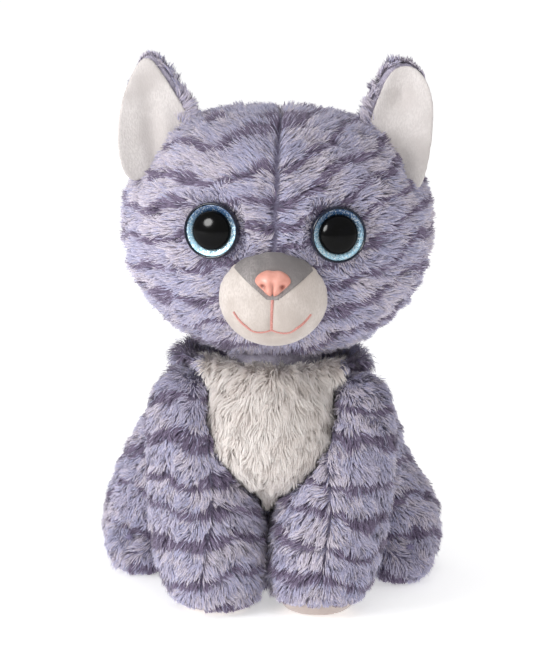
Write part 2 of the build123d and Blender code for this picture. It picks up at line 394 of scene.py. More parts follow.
@dataclass(frozen=True)
class Woven:
    """Plain woven or fibre cloth for what is inside and for the label."""

    name: str
    colour: Colour
    dark: Colour
    threads: float = 2200.0

    def material(self) -> bpy.types.Material:
        """The cloth's material."""
        paint = Paint(self.name)
        warp = paint.noise(self.threads, 2.0, (1.0, 1.0, 0.3))
        weave = warp * paint.noise(self.threads, 2.0, (0.3, 1.0, 1.0))
        return paint.finish(Base_Color=paint.mix(weave.above(0.15, 0.2), self.dark, self.colour),
                            Roughness=0.85, Sheen_Weight=0.2, Normal=paint.bump(weave, 0.4, 0.0003))


# The root shades are painted shade: darker where the pile is deep.
LAVENDER_SHADES = (
    Strand("lavender_root", (0.330, 0.300, 0.405)),
    Strand("lavender_body", (0.505, 0.472, 0.620)),
    Strand("lavender_tip", (0.610, 0.575, 0.725)),
    Strand("blue_root", (0.300, 0.288, 0.410)),
    Strand("blue_body", (0.445, 0.438, 0.620)),
    Strand("blue_tip", (0.545, 0.538, 0.720)),
    Strand("rose_root", (0.400, 0.355, 0.430)),
    Strand("rose_body", (0.620, 0.560, 0.650)),
    Strand("rose_tip", (0.765, 0.710, 0.785)),
    Strand("stripe_root", (0.130, 0.100, 0.168)),
    Strand("stripe_body", (0.188, 0.147, 0.235)),
    Strand("stripe_tip", (0.265, 0.215, 0.320)),
)
# Here too the root shades are painted shade: darker where the pile is deep.
CREAM_SHADES = (
    Strand("cream_root", (0.740, 0.660, 0.615)),
    Strand("cream_body", (0.830, 0.760, 0.720)),
    Strand("cream_tip", (0.880, 0.825, 0.790)),
    Strand("milk_root", (0.780, 0.710, 0.670)),
    Strand("milk_body", (0.870, 0.815, 0.780)),
    Strand("milk_tip", (0.930, 0.890, 0.860)),
)
LAVENDER_BACKING = Backing("lavender_backing", (0.16, 0.14, 0.22), (0.26, 0.24, 0.35))
ROSE_BACKING = Backing("rose_backing", (0.36, 0.33, 0.42), (0.50, 0.46, 0.57))
CREAM_BACKING = Backing("cream_backing", (0.66, 0.58, 0.54), (0.78, 0.71, 0.67))
CREAM_VELBOA = Velboa("cream_velboa", (0.52, 0.455, 0.415), (0.70, 0.635, 0.595))
EAR_VELBOA = Velboa("ear_velboa", (0.60, 0.555, 0.54), (0.76, 0.715, 0.70))
SOLE_VELBOA = Velboa("sole_velboa", (0.50, 0.42, 0.39), (0.64, 0.56, 0.52))
GREY_VELBOA = Velboa("grey_velboa", (0.17, 0.155, 0.155), (0.36, 0.33, 0.325))
PINK_VINYL = NoseVinyl("pink_vinyl", (0.83, 0.40, 0.32), (0.74, 0.32, 0.25), (0.20, 0.06, 0.045))
BLACK_PLASTIC = Moulded("black_plastic", (0.010, 0.014, 0.032), (0.005, 0.007, 0.018), 0.16, 0.2, 0.02, 0.25)
PUPIL_PLASTIC = Moulded("pupil_plastic", (0.002, 0.002, 0.003), (0.001, 0.001, 0.001), 0.10, 0.0, 0.01, 0.12)
BLUE_GLITTER = Glitter("blue_glitter", (0.008, 0.055, 0.150), (0.42, 0.72, 0.88), (0.92, 0.98, 1.0))
PINK_THREAD = Thread("pink_thread", (0.70, 0.32, 0.28), (0.50, 0.19, 0.16))
TACK_THREAD = Thread("lavender_thread", (0.22, 0.19, 0.33), (0.13, 0.11, 0.21))
WASHER_PLASTIC = Moulded("washer_plastic", (0.75, 0.74, 0.70), (0.66, 0.65, 0.61), 0.5)
POUCH_CLOTH = Woven("pouch_cloth", (0.72, 0.70, 0.64), (0.55, 0.53, 0.47))
LABEL_SATIN = Woven("label_satin", (0.90, 0.90, 0.90), (0.78, 0.78, 0.79), 3200.0)


# ---------------------------------------------------------------- mesh helpers
def positions(mesh: bpy.types.Mesh) -> Array:
    """A mesh's points as an array of rows."""
    flat = np.empty(len(mesh.vertices) * 3, np.float32)
    mesh.vertices.foreach_get("co", flat)
    return flat.reshape(-1, 3).astype(float)


def set_positions(mesh: bpy.types.Mesh, points: Array) -> None:
    """Move a mesh's points.

    Args:
        mesh: The mesh.
        points: A row for each of its points.
    """
    mesh.vertices.foreach_set("co", points.astype(np.float32).ravel())
    mesh.update()


def unit(vectors: Array) -> Array:
    """The same directions, each one unit long."""
    return vectors / np.maximum(np.linalg.norm(vectors, axis=-1, keepdims=True), 1e-9)


def smoothstep(low: float, high: float, value: Array) -> Array:
    """0 before low, 1 after high, smooth between."""
    share = np.clip((value - low) / (high - low), 0.0, 1.0)
    return share * share * (3.0 - 2.0 * share)


def place_object(name: str, mesh: bpy.types.Mesh, smooth: bool = True) -> bpy.types.Object:
    """Put a mesh in the scene.

    Args:
        name: The object's name.
        mesh: Its mesh.
        smooth: Whether it is shaded smooth.

    Returns:
        The object.
    """
    if smooth:
        mesh.polygons.foreach_set("use_smooth", np.ones(len(mesh.polygons), bool))
    made = bpy.data.objects.new(name, mesh)
    bpy.context.scene.collection.objects.link(made)
    return made


def from_bmesh(name: str, work: bmesh.types.BMesh, smooth: bool = True) -> bpy.types.Object:
    """Turn a finished bmesh into an object and free it.

    Args:
        name: The object's name.
        work: The bmesh.
        smooth: Whether it is shaded smooth.

    Returns:
        The object.
    """
    mesh = bpy.data.meshes.new(name)
    work.to_mesh(mesh)
    work.free()
    return place_object(name, mesh, smooth)


def bake_modifiers(piece: bpy.types.Object) -> None:
    """Apply what the modifiers make, and clear them."""
    view = bpy.context.evaluated_depsgraph_get()
    view.update()
    mesh = bpy.data.meshes.new_from_object(piece.evaluated_get(view))
    piece.modifiers.clear()
    old, piece.data = piece.data, mesh
    bpy.data.meshes.remove(old)
    mesh.polygons.foreach_set("use_smooth", np.ones(len(mesh.polygons), bool))


def stuffed_form(name: str, nodes: Sequence[str], voxel: float, smoothing: int) -> bpy.types.Object:
    """One closed skin round some CAD solids.

    Args:
        name: The new object's name.
        nodes: The CAD nodes that it wraps.
        voxel: The remesh's cell, in metres.
        smoothing: How many smoothing rounds.

    Returns:
        The skin.
    """
    work = bmesh.new()
    for node in nodes:
        work.from_mesh(frame["nodes"][node].data)
    bmesh.ops.remove_doubles(work, verts=work.verts, dist=1e-6)
    piece = from_bmesh(name, work)
    remesh = piece.modifiers.new("remesh", "REMESH")
    remesh.mode = "VOXEL"
    remesh.voxel_size = voxel
    bake_modifiers(piece)
    relax(piece, smoothing)
    return piece


def relax(piece: bpy.types.Object, rounds: int, factor: float = 0.5) -> None:
    """Smooth a mesh.

    Args:
        piece: The object.
        rounds: How many rounds.
        factor: How far each round goes.
    """
    work = bmesh.new()
    work.from_mesh(piece.data)
    for _ in range(rounds):
        bmesh.ops.smooth_vert(work, verts=work.verts, factor=factor, use_axis_x=True, use_axis_y=True,
                              use_axis_z=True)
    work.to_mesh(piece.data)
    work.free()
    piece.data.update()


class Noise:
    """Smooth noise in space, from a few plane waves with seeded directions."""

    def __init__(self, seed: int, wavelength: float, waves: int = 7) -> None:
        """Draw the waves.

        Args:
            seed: The random seed.
            wavelength: The mean wavelength, in metres.
            waves: How many waves are summed.
        """
        draw = np.random.default_rng(seed)
        self.along = unit(draw.normal(size=(waves, 3))) * (2 * math.pi / wavelength)
        self.along *= draw.uniform(0.6, 1.5, size=(waves, 1))
        self.phase = draw.uniform(0, 2 * math.pi, size=waves)

    def __call__(self, points: Array) -> Array:
        """The noise at some points, about -1 to 1."""
        return np.sin(points @ self.along.T + self.phase).sum(1) / math.sqrt(len(self.phase) * 0.75)


class NoiseField:
    """Three noises that make a vector."""

    def __init__(self, seed: int, wavelength: float) -> None:
        """Draw the three noises."""
        self.parts = [Noise(seed + step, wavelength) for step in range(3)]

    def __call__(self, points: Array) -> Array:
        """The vector at some points."""
        return np.stack([part(points) for part in self.parts], axis=1)


# ---------------------------------------------------------------- pile
@dataclass
class Roots:
    """Where strands grow: points, skin normals, and the direction that the nap lies in."""

    points: Array
    normals: Array
    nap: Array

    def only(self, keep: Array) -> "Roots":
        """The roots that a mask keeps."""
        return Roots(self.points[keep], self.normals[keep], self.nap[keep])


@dataclass(frozen=True)
class Pile:
    """A long pile fabric: how densely, how long and how untidily it grows."""

    density: float = 1.0          # strands to the square millimetre
    length: float = 7.0 * MM
    width: float = 0.55 * MM
    lift: float = 38.0            # degrees off the skin
    tuft_area: float = 16.0       # square millimetres to a tuft
    tuft_pull: float = 0.55
    jitter: float = 0.22
    seed: int = 11

    def roots(self, skin: bpy.types.Object, comb: Callable[[Array, Array], Array],
              crowd: Callable[[Array, Array], Array]) -> Roots:
        """Scatter roots over a skin.

        Args:
            skin: The skin's object.
            comb: The nap's direction at points with normals.
            crowd: How much of the full density grows at points with normals.

        Returns:
            The roots.
        """
        draw = np.random.default_rng(self.seed)
        mesh = skin.data
        mesh.calc_loop_triangles()
        corners = np.empty(len(mesh.loop_triangles) * 3, np.int32)
        mesh.loop_triangles.foreach_get("vertices", corners)
        corners = corners.reshape(-1, 3)
        points = positions(mesh)
        bends = np.empty(len(mesh.vertices) * 3, np.float32)
        mesh.vertices.foreach_get("normal", bends)
        bends = bends.reshape(-1, 3)
        a, b, c = (points[corners[:, k]] for k in range(3))
        area = np.linalg.norm(np.cross(b - a, c - a), axis=1) / 2
        count = int(area.sum() / MM ** 2 * self.density)
        steps = (np.arange(count) + draw.random(count)) / count
        chosen = np.searchsorted(np.cumsum(area) / area.sum(), steps)
        chosen = np.minimum(chosen, len(area) - 1)
        u, v = np.sqrt(draw.random(count))[:, None], draw.random(count)[:, None]
        weights = (1 - u, u * (1 - v), u * v)
        spots = sum(w * points[corners[chosen, k]] for k, w in enumerate(weights))
        normals = unit(sum(w * bends[corners[chosen, k]] for k, w in enumerate(weights)))
        keep = draw.random(count) < crowd(spots, normals)
        spots, normals = spots[keep], normals[keep]
        nap = comb(spots, normals)
        nap = unit(nap - normals * (nap * normals).sum(1, keepdims=True))
        return Roots(spots, normals, nap)

    def grow(self, name: str, roots: Roots, shades: Sequence[Strand],
             shade: Callable[[Array, Array], Array], reach: Callable[[Array], Array] | None = None
             ) -> bpy.types.Object:
        """Grow the strands.

        Args:
            name: The new object's name.
            roots: Where they grow.
            shades: The shades, three to a family: root (darkened as painted shade deep in the pile), body,
                tip.
            shade: The family at points, given a random number for each.
            reach: A length factor at points.

        Returns:
            The pile.
        """
        draw = np.random.default_rng(self.seed + 1)
        count = len(roots.points)
        lift = np.radians(self.lift + 9.0 * draw.normal(size=count))[:, None]
        stray = NoiseField(self.seed + 2, 9.0 * MM)(roots.points)
        nap = unit(roots.nap + self.jitter * draw.normal(size=(count, 3)) + 0.35 * stray)
        rise = unit(np.sin(lift) * roots.normals + np.cos(lift) * nap)
        span = self.length * draw.uniform(0.7, 1.15, size=count)
        if reach is not None:
            span = span * reach(roots.points)
        span = span[:, None]
        tips = roots.points + span * rise
        knees = roots.points + 0.5 * span * unit(rise + 0.55 * roots.normals)
        owner = self.tufts(roots.points, draw)
        pull = self.tuft_pull * draw.uniform(0.5, 1.25, size=(count, 1))
        tips += pull * (tips[owner] - tips)
        knees += 0.4 * pull * (knees[owner] - knees)
        feet = roots.points - 0.4 * MM * roots.normals
        bends = 0.45 * knees + 0.55 * tips + 0.06 * span * roots.normals
        lines = np.stack([feet, knees, bends, tips], axis=1)
        across = unit(np.cross(roots.normals, nap) + 0.35 * draw.normal(size=(count, 3)))
        return self.weave(name, lines, across, roots.normals, draw.uniform(0.75, 1.2, size=count), shades,
                          shade(roots.points, draw.random(count)), draw)

    def tufts(self, points: Array, draw: np.random.Generator) -> Array:
        """Give each strand the leader of its tuft.

        Args:
            points: The strands' roots.
            draw: The random numbers.

        Returns:
            The leader's index for each strand.
        """
        leaders = draw.permutation(len(points))[: max(1, int(len(points) / (self.density * self.tuft_area)))]
        tree = KDTree(len(leaders))
        for leader in leaders:
            tree.insert(points[leader], int(leader))
        tree.balance()
        return np.fromiter((tree.find(point)[1] for point in points), np.int64, len(points))

    def weave(self, name: str, lines: Array, across: Array, normals: Array, girth: Array,
              shades: Sequence[Strand], family: Array, draw: np.random.Generator) -> bpy.types.Object:
        """Make a tapered blade along each line.

        Args:
            name: The new object's name.
            lines: Four points to a strand.
            across: The blade's width direction.
            normals: The skin's normal.
            girth: A width factor.
            shades: The shades, three to a family.
            family: The family's index for each strand.
            draw: The random numbers.

        Returns:
            The pile.
        """
        count = len(lines)
        taper = np.array([0.75, 1.0, 0.62])
        half = (self.width / 2 * girth)[:, None, None] * taper[None, :, None] * across[:, None, :]
        points = np.empty((count, 7, 3))
        points[:, 0:6:2] = lines[:, :3] - half
        points[:, 1:6:2] = lines[:, :3] + half
        points[:, 6] = lines[:, 3]
        points[..., 2] = np.maximum(points[..., 2], 0.1 * MM)
        corner = np.array([0, 2, 3, 1, 2, 4, 5, 3, 4, 6, 5])
        loops = (np.arange(count)[:, None] * 7 + corner).ravel()
        starts = (np.arange(count)[:, None] * 11 + np.array([0, 4, 8])).ravel()
        mesh = bpy.data.meshes.new(name)
        mesh.vertices.add(count * 7)
        mesh.vertices.foreach_set("co", points.astype(np.float32).ravel())
        mesh.loops.add(len(loops))
        mesh.loops.foreach_set("vertex_index", loops.astype(np.int32))
        mesh.polygons.add(len(starts))
        mesh.polygons.foreach_set("loop_start", starts.astype(np.int32))
        # Face 0 of each blade takes the root shade, painted darker as shade deep in the pile; face 1 the
        # body, face 2 the tip.
        level = np.tile(np.array([0, 1, 2]), count)
        mesh.polygons.foreach_set("material_index", (np.repeat(family, 3) * 3 + level).astype(np.int32))
        mesh.update(calc_edges=True)
        piece = place_object(name, mesh)
        for strand in shades:
            mesh.materials.append(SHADE_BOOK.material(strand))
        blade = unit(np.cross(lines[:, 3] - lines[:, 0], across))
        bent = unit(normals * 0.76 + blade * 0.24 + 0.07 * draw.normal(size=(count, 3)))
        mesh.normals_split_custom_set_from_vertices(np.repeat(bent, 7, axis=0).astype(np.float32))
        return piece


class Book:
    """Each finish's material, made once."""

    def __init__(self) -> None:
        """Start empty."""
        self.made: dict[str, bpy.types.Material] = {}

    def material(self, finish: object) -> bpy.types.Material:
        """The material of a finish."""
        if finish.name not in self.made:
            self.made[finish.name] = finish.material()
        return self.made[finish.name]


SHADE_BOOK = Book()


def dress(piece: bpy.types.Object, finish: object) -> bpy.types.Object:
    """Give a piece one finish on all its slots."""
    material = SHADE_BOOK.material(finish)
    if not piece.material_slots:
        piece.data.materials.append(material)
    for place in piece.material_slots:
        place.material = material
    return piece


def settle(piece: bpy.types.Object, body: str, slot: str, *nodes: str) -> bpy.types.Object:
    """Ride a piece on its body and hide what it stands for.

    Args:
        piece: The piece.
        body: The CAD body.
        slot: The record's material slot; not used.
        nodes: The CAD nodes that it replaces.

    Returns:
        The piece.
    """
    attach(piece, body)
    if nodes:
        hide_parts(*nodes)
    LOG.info("%s rides %s, %d faces", piece.name, body, len(piece.data.polygons))
    return piece


def span_of(*nodes: str) -> tuple[Vector, Vector]:
    """The lowest and the highest corner of some CAD nodes together."""
    boxes = [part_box(node) for node in nodes]
    return (Vector(min(box[0][k] for box in boxes) for k in range(3)),
            Vector(max(box[1][k] for box in boxes) for k in range(3)))


# ---------------------------------------------------------------- stripes
@dataclass
class Stripes:
    """Dark bands printed on the pile, by where a strand grows."""

    spacing: float
    warp: float = 3.0 * MM
    cover: float = 0.30
    seed: int = 5
    rosy: float = 0.0             # raise it for less of the pale rose shade, partly pale tipping and partly painted sheen highlight
    strong: float = 0.90          # the share of a band's strands that are dark
    slant: Callable[[Array], Array] = lambda points: points[:, 2]

    def __call__(self, points: Array, chance: Array) -> Array:
        """The shade family of each strand: 0 lavender, 1 blue, 2 rose (pale tipping and painted sheen
        highlight), 3 stripe.

        Args:
            points: Where the strands grow.
            chance: A random number for each.

        Returns:
            The families' indexes.
        """
        broad, fine = Noise(self.seed, 34 * MM)(points), Noise(self.seed + 1, 11 * MM)(points)
        wander = self.warp * broad + 0.35 * self.warp * fine
        place = (self.slant(points) + wander) / self.spacing
        wave = np.abs((place - np.floor(place)) - 0.5) * 2.0
        gaps = 0.07 * Noise(self.seed + 2, 30 * MM)(points)
        dark = smoothstep(self.cover + 0.07, self.cover - 0.05, wave + gaps)
        # Rose patches stand partly for pale tipping and partly for a painted sheen highlight on the pile.
        patches = Noise(self.seed + 3, 26 * MM)(points) + 0.5 * Noise(self.seed + 4, 8 * MM)(points)
        rosy = smoothstep(-0.2 + self.rosy, 1.1 + self.rosy, patches)
        family = np.where(chance < 0.42 + 0.2 * Noise(self.seed + 5, 20 * MM)(points), 1, 0)
        family = np.where((chance * 7.3) % 1.0 < 0.12 + 0.62 * rosy, 2, family)
        return np.where((chance * 3.7) % 1.0 < dark * self.strong, 3, family).astype(np.int64)


def cream_mix(points: Array, chance: Array) -> Array:
    """The cream pile's two shade families, in soft patches."""
    return (chance < 0.5 + 0.3 * Noise(71, 14 * MM)(points)).astype(np.int64)


# ---------------------------------------------------------------- room between bodies
class Room:
    """How near a point is to the CAD solids of other bodies."""

    def __init__(self, *bodies: str) -> None:
        """Gather the outer solids of some bodies.

        Args:
            bodies: The bodies' names.
        """
        work = bmesh.new()
        for body in bodies:
            for node in frame["record"]["behaviour"]["bodies"][body]:
                if "stuffing" not in node or body == "neck":
                    work.from_mesh(frame["nodes"][node].data)
        self.tree = BVHTree.FromBMesh(work)
        work.free()

    def gap(self, points: Array, most: float = 12 * MM) -> Array:
        """The distance from each point to those solids, up to a limit."""
        found = (self.tree.find_nearest(point, most)[3] for point in points)
        return np.fromiter((most if gap is None else gap for gap in found), float, len(points))


def short_near(gap: Array, start: float = 0.8 * MM, full: float = 7.0 * MM, least: float = 0.25) -> Array:
    """A strand length factor that shortens the pile next to another body."""
    return least + (1.0 - least) * smoothstep(start, full, gap)


def keep_above(piece: bpy.types.Object, height: float) -> None:
    """Lift every point of a piece that lies under a height up to it."""
    points = positions(piece.data)
    points[:, 2] = np.maximum(points[:, 2], height)
    set_positions(piece.data, points)


def sink(piece: bpy.types.Object, depth: float | Array) -> None:
    """Move a skin's points inwards along their normals."""
    mesh = piece.data
    flat = np.empty(len(mesh.vertices) * 3, np.float32)
    mesh.vertices.foreach_get("normal", flat)
    set_positions(mesh, positions(mesh) - flat.reshape(-1, 3) * np.reshape(depth, (-1, 1)))


def puff(piece: bpy.types.Object, cap: float, pressure: float = 4.0) -> None:
    """Swell a skin as stuffing does, with a cloth under pressure.

    Args:
        piece: The skin.
        cap: The furthest that a point may move, in metres.
        pressure: The cloth's inner pressure.
    """
    start = positions(piece.data)
    cloth = piece.modifiers.new("cloth", "CLOTH")
    cloth.settings.use_pressure = True
    cloth.settings.uniform_pressure_force = pressure
    cloth.settings.effector_weights.gravity = 0.0
    cloth.point_cache.frame_start = 1
    cloth.point_cache.frame_end = 20
    for step in range(1, 21):
        bpy.context.scene.frame_set(step)
    moved = positions(piece.evaluated_get(bpy.context.evaluated_depsgraph_get()).data)
    piece.modifiers.clear()
    shift = moved - start
    far = np.linalg.norm(shift, axis=1, keepdims=True)
    set_positions(piece.data, start + shift * np.minimum(1.0, cap / np.maximum(far, 1e-9)))
    bpy.context.scene.frame_set(1)


def subdivide(piece: bpy.types.Object, levels: int = 1) -> None:
    """Subdivide a mesh smoothly and keep the result."""
    finer = piece.modifiers.new("finer", "SUBSURF")
    finer.levels = finer.render_levels = levels
    bake_modifiers(piece)


def lathe(name: str, profile: Sequence[tuple[float, float]], centre: Vector, axis: Vector,
          steps: int = 64) -> bpy.types.Object:
    """Spin a profile into a closed round piece.

    Args:
        name: The piece's name.
        profile: Radius and height pairs in millimetres, from the axis or closed on itself.
        centre: Where height 0 is on the axis.
        axis: The axis's direction.
        steps: How many facets go round.

    Returns:
        The piece.
    """
    work = bmesh.new()
    points = [work.verts.new((radius * MM, 0.0, height * MM)) for radius, height in profile]
    edges = [work.edges.new(pair) for pair in zip(points, points[1:])]
    if profile[0][0] > 0.0:
        edges.append(work.edges.new((points[-1], points[0])))
    bmesh.ops.spin(work, geom=points + edges, cent=(0, 0, 0), axis=(0, 0, 1), dvec=(0, 0, 0),
                   angle=2 * math.pi, steps=steps, use_merge=True, use_duplicate=False)
    bmesh.ops.remove_doubles(work, verts=work.verts, dist=1e-7)
    bmesh.ops.recalc_face_normals(work, faces=work.faces)
    turn = axis.to_track_quat("Z", "Y").to_matrix().to_4x4()
    bmesh.ops.transform(work, matrix=Matrix.Translation(centre) @ turn, verts=work.verts)
    return from_bmesh(name, work)


def bump_at(points: Array, centre: Sequence[float], size: Sequence[float]) -> Array:
    """A smooth hump of height 1 with a centre and a size on each axis."""
    return np.exp(-(((points - np.array(centre)) / np.array(size)) ** 2).sum(1))


# ---------------------------------------------------------------- head
@dataclass
class Head:
    """The head's stuffed form and its pile, parted along the forehead seam."""

    body: str = "head"
    voxel: float = 2.6 * MM
    sunk: float = 2.6 * MM
    seam_depth: float = 1.6 * MM
    seam_width: float = 2.2 * MM
    eye_clear: float = 11.8 * MM
    ear_hollow: float = 5.0 * MM
    front: Pile = Pile(
        density=3.05, length=6.2 * MM, width=0.43 * MM, lift=34.0, tuft_area=8.0, tuft_pull=0.26,
        jitter=0.16, seed=101)
    back: Pile = Pile(
        density=1.5, length=7.2 * MM, width=0.58 * MM, tuft_area=10.0, tuft_pull=0.36, seed=131)

    def __post_init__(self) -> None:
        """Read the head's places from the frame."""
        self.low, self.high = span_of("left_face_cover", "right_face_cover", "head_back_cover")
        self.centre = (self.low + self.high) / 2
        self.muzzle_low, self.muzzle_high = span_of("muzzle_cover", "muzzle_bridge")
        self.muzzle_centre = (self.muzzle_low + self.muzzle_high) / 2
        self.back_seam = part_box("head_back_cover")[0].y
        self.eyes = {side: sum(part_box(f"{side.word}_eye_pupil"), Vector()) / 2 for side in Side}
        self.room = Room("torso", "neck")

    def by_ear(self, points: Array) -> Array:
        """How near a point is to an ear's root."""
        folded = np.abs(points) * (1, 0, 1) + points * (0, 1, 0)
        return bump_at(folded, (self.high.x - 9 * MM, self.centre.y - 14 * MM, self.high.z - 20 * MM),
                       (15 * MM, 24 * MM, 15 * MM))

    def on_brow(self, points: Array) -> Array:
        """How much a point is on the forehead, where the seam shows."""
        return (smoothstep(self.muzzle_high.z - 4 * MM, self.muzzle_high.z + 6 * MM, points[:, 2])
                * smoothstep(self.back_seam + 12 * MM, self.back_seam, points[:, 1]))

    def comb(self, points: Array, normals: Array) -> Array:
        """The nap: out from the muzzle, over the head, parted at the seam, and round the eyes."""
        away = points - np.array(self.muzzle_centre)
        side = np.sign(points[:, 0])
        part = side * self.on_brow(points) * np.exp(-(points[:, 0] / (26 * MM)) ** 2)
        flow = unit(np.stack([away[:, 0] * 1.15 + 0.020 * part,
                              np.abs(away[:, 1]) * 0.5 + 0.008,
                              away[:, 2] * 0.42 - 0.014], axis=1))
        for eye in self.eyes.values():
            out = points - np.array(eye)
            near = smoothstep(24 * MM, 13 * MM, np.linalg.norm(out, axis=1))[:, None]
            flow = unit(flow * (1 - 0.75 * near) + unit(out) * 0.75 * near)
        return flow

    def crowd(self, points: Array, normals: Array) -> Array:
        """No pile under the muzzle or the eyes, and thinner pile in the seam's fold."""
        share = np.ones(len(points))
        centre = np.array(self.muzzle_centre)
        half = np.array(self.muzzle_high - self.muzzle_low) / 2
        rim = np.hypot((points[:, 0] - centre[0]) / half[0], (points[:, 2] - centre[2]) / half[2])
        share[(rim < 0.84) & (points[:, 1] < self.centre.y)] = 0.0
        for eye in self.eyes.values():
            share[np.linalg.norm(points - np.array(eye), axis=1) < self.eye_clear] = 0.0
        fold = np.exp(-(points[:, 0] / (1.1 * MM)) ** 2) * self.on_brow(points)
        return share * (1.0 - 0.45 * fold)

    def reach(self, points: Array) -> Array:
        """Shorter pile round the eyes and muzzle and over the neck, longer on the cheeks."""
        length = short_near(self.room.gap(points), least=0.75)
        for eye in self.eyes.values():
            away = np.linalg.norm(points - np.array(eye), axis=1)
            length *= 0.42 + 0.58 * smoothstep(12 * MM, 24 * MM, away)
        near = np.linalg.norm((points - np.array(self.muzzle_centre)) * (1.0, 0.6, 1.0), axis=1)
        length *= 0.5 + 0.5 * smoothstep(20 * MM, 40 * MM, near)
        cheek = smoothstep(45 * MM, 66 * MM, np.abs(points[:, 0])) * smoothstep(0.185, 0.15, points[:, 2])
        return length * (1.0 + 0.25 * cheek) * (1.0 - 0.4 * self.by_ear(points))

    def stripes(self) -> Stripes:
        """The bands of the face, drooping to its right and rising to its left."""
        return Stripes(spacing=12.5 * MM, warp=2.0 * MM, cover=0.27, seed=23, rosy=-0.15, strong=0.82,
                       slant=lambda p: p[:, 2] + np.where(p[:, 0] < 0, -0.30 * p[:, 0], -0.36 * p[:, 0])
                       - 2.0 * p[:, 0] ** 2)

    def build(self) -> None:
        """Build the head's form and its three panels of pile."""
        skin = stuffed_form("head_form", ("left_face_cover", "right_face_cover", "head_back_cover",
                                          "head_stuffing"), self.voxel, 4)
        points = positions(skin.data)
        fold = np.exp(-(points[:, 0] / self.seam_width) ** 2) * self.on_brow(points)
        sink(skin, self.sunk + self.seam_depth * fold + self.ear_hollow * self.by_ear(points))
        dress(skin, LAVENDER_BACKING)
        settle(skin, self.body, "lavender_fur", "head_stuffing")
        roots = self.front.roots(skin, self.comb, self.crowd)
        face = roots.points[:, 1] < self.back_seam
        left = roots.points[:, 0] > 0
        for name, keep in (("left_face", face & left), ("right_face", face & ~left)):
            coat = self.front.grow(f"{name}_fur", roots.only(keep), LAVENDER_SHADES, self.stripes(),
                                   self.reach)
            settle(coat, self.body, "lavender_fur", f"{name}_cover")
        rear = self.back.roots(skin, self.comb, self.crowd)
        rear = rear.only(rear.points[:, 1] >= self.back_seam)
        coat = self.back.grow("head_back_fur", rear, LAVENDER_SHADES, self.stripes(), self.reach)
        settle(coat, self.body, "lavender_fur", "head_back_cover")


@dataclass
class Eye:
    """A safety eye: a black rim, a dish of glitter and a domed pupil."""

    side: Side
    pupil_rise: float = 3.1
    rim: tuple = ((12.5, -2.2), (12.6, 0.8), (12.5, 2.0), (12.2, 2.6), (11.8, 2.7), (11.5, 2.3), (11.4, 0.6),
                  (11.4, -2.2))
    dish: tuple = ((11.55, 1.6), (11.2, 1.75), (10.6, 1.6), (9.9, 1.3), (9.3, 1.0), (8.6, 0.6), (8.5, -1.0),
                   (11.55, -1.0))
    dome: tuple[float, float] = (8.9, 4.3)

    def pupil(self) -> list[tuple[float, float]]:
        """The pupil's profile: a short wall and a dome."""
        radius, rise = self.dome
        turns = [step * math.pi / 24 for step in range(13)]
        arc = [(radius * math.sin(turn), 0.9 + rise * math.cos(turn)) for turn in turns]
        return [*arc, (radius, -0.6), (0.0, -0.6)]

    def build(self) -> None:
        """Build the eye's three pieces in the CAD eye's own place."""
        word = self.side.word
        centre = sum(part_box(f"{word}_eye_pupil"), Vector()) / 2
        axis = (centre - sum(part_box(f"{word}_eye_washer"), Vector()) / 2).normalized()
        base = centre - axis * self.pupil_rise * MM
        rim = dress(lathe(f"{word}_eye_rim", self.rim, base, axis), BLACK_PLASTIC)
        settle(rim, "head", "black_plastic", f"{word}_eye_base")
        dish = lathe(f"{word}_eye_glitter", self.dish, base, axis, 96)
        # Painted shade and reflection: the glitter runs from pale at the bottom to deep at the top.
        lift = (positions(dish.data)[:, 2] - centre.z) / (11.5 * MM)
        shade = dish.data.attributes.new("lift", "FLOAT", "POINT")
        shade.data.foreach_set("value", smoothstep(-0.85, 0.85, lift).astype(np.float32))
        settle(dress(dish, BLUE_GLITTER), "head", "blue_glitter", f"{word}_eye_glitter_ring")
        dome = dress(lathe(f"{word}_eye_dome", self.pupil(), base, axis), PUPIL_PLASTIC)
        settle(dome, "head", "pupil_plastic", f"{word}_eye_pupil")
        dress(frame["nodes"][f"{word}_eye_washer"], WASHER_PLASTIC)


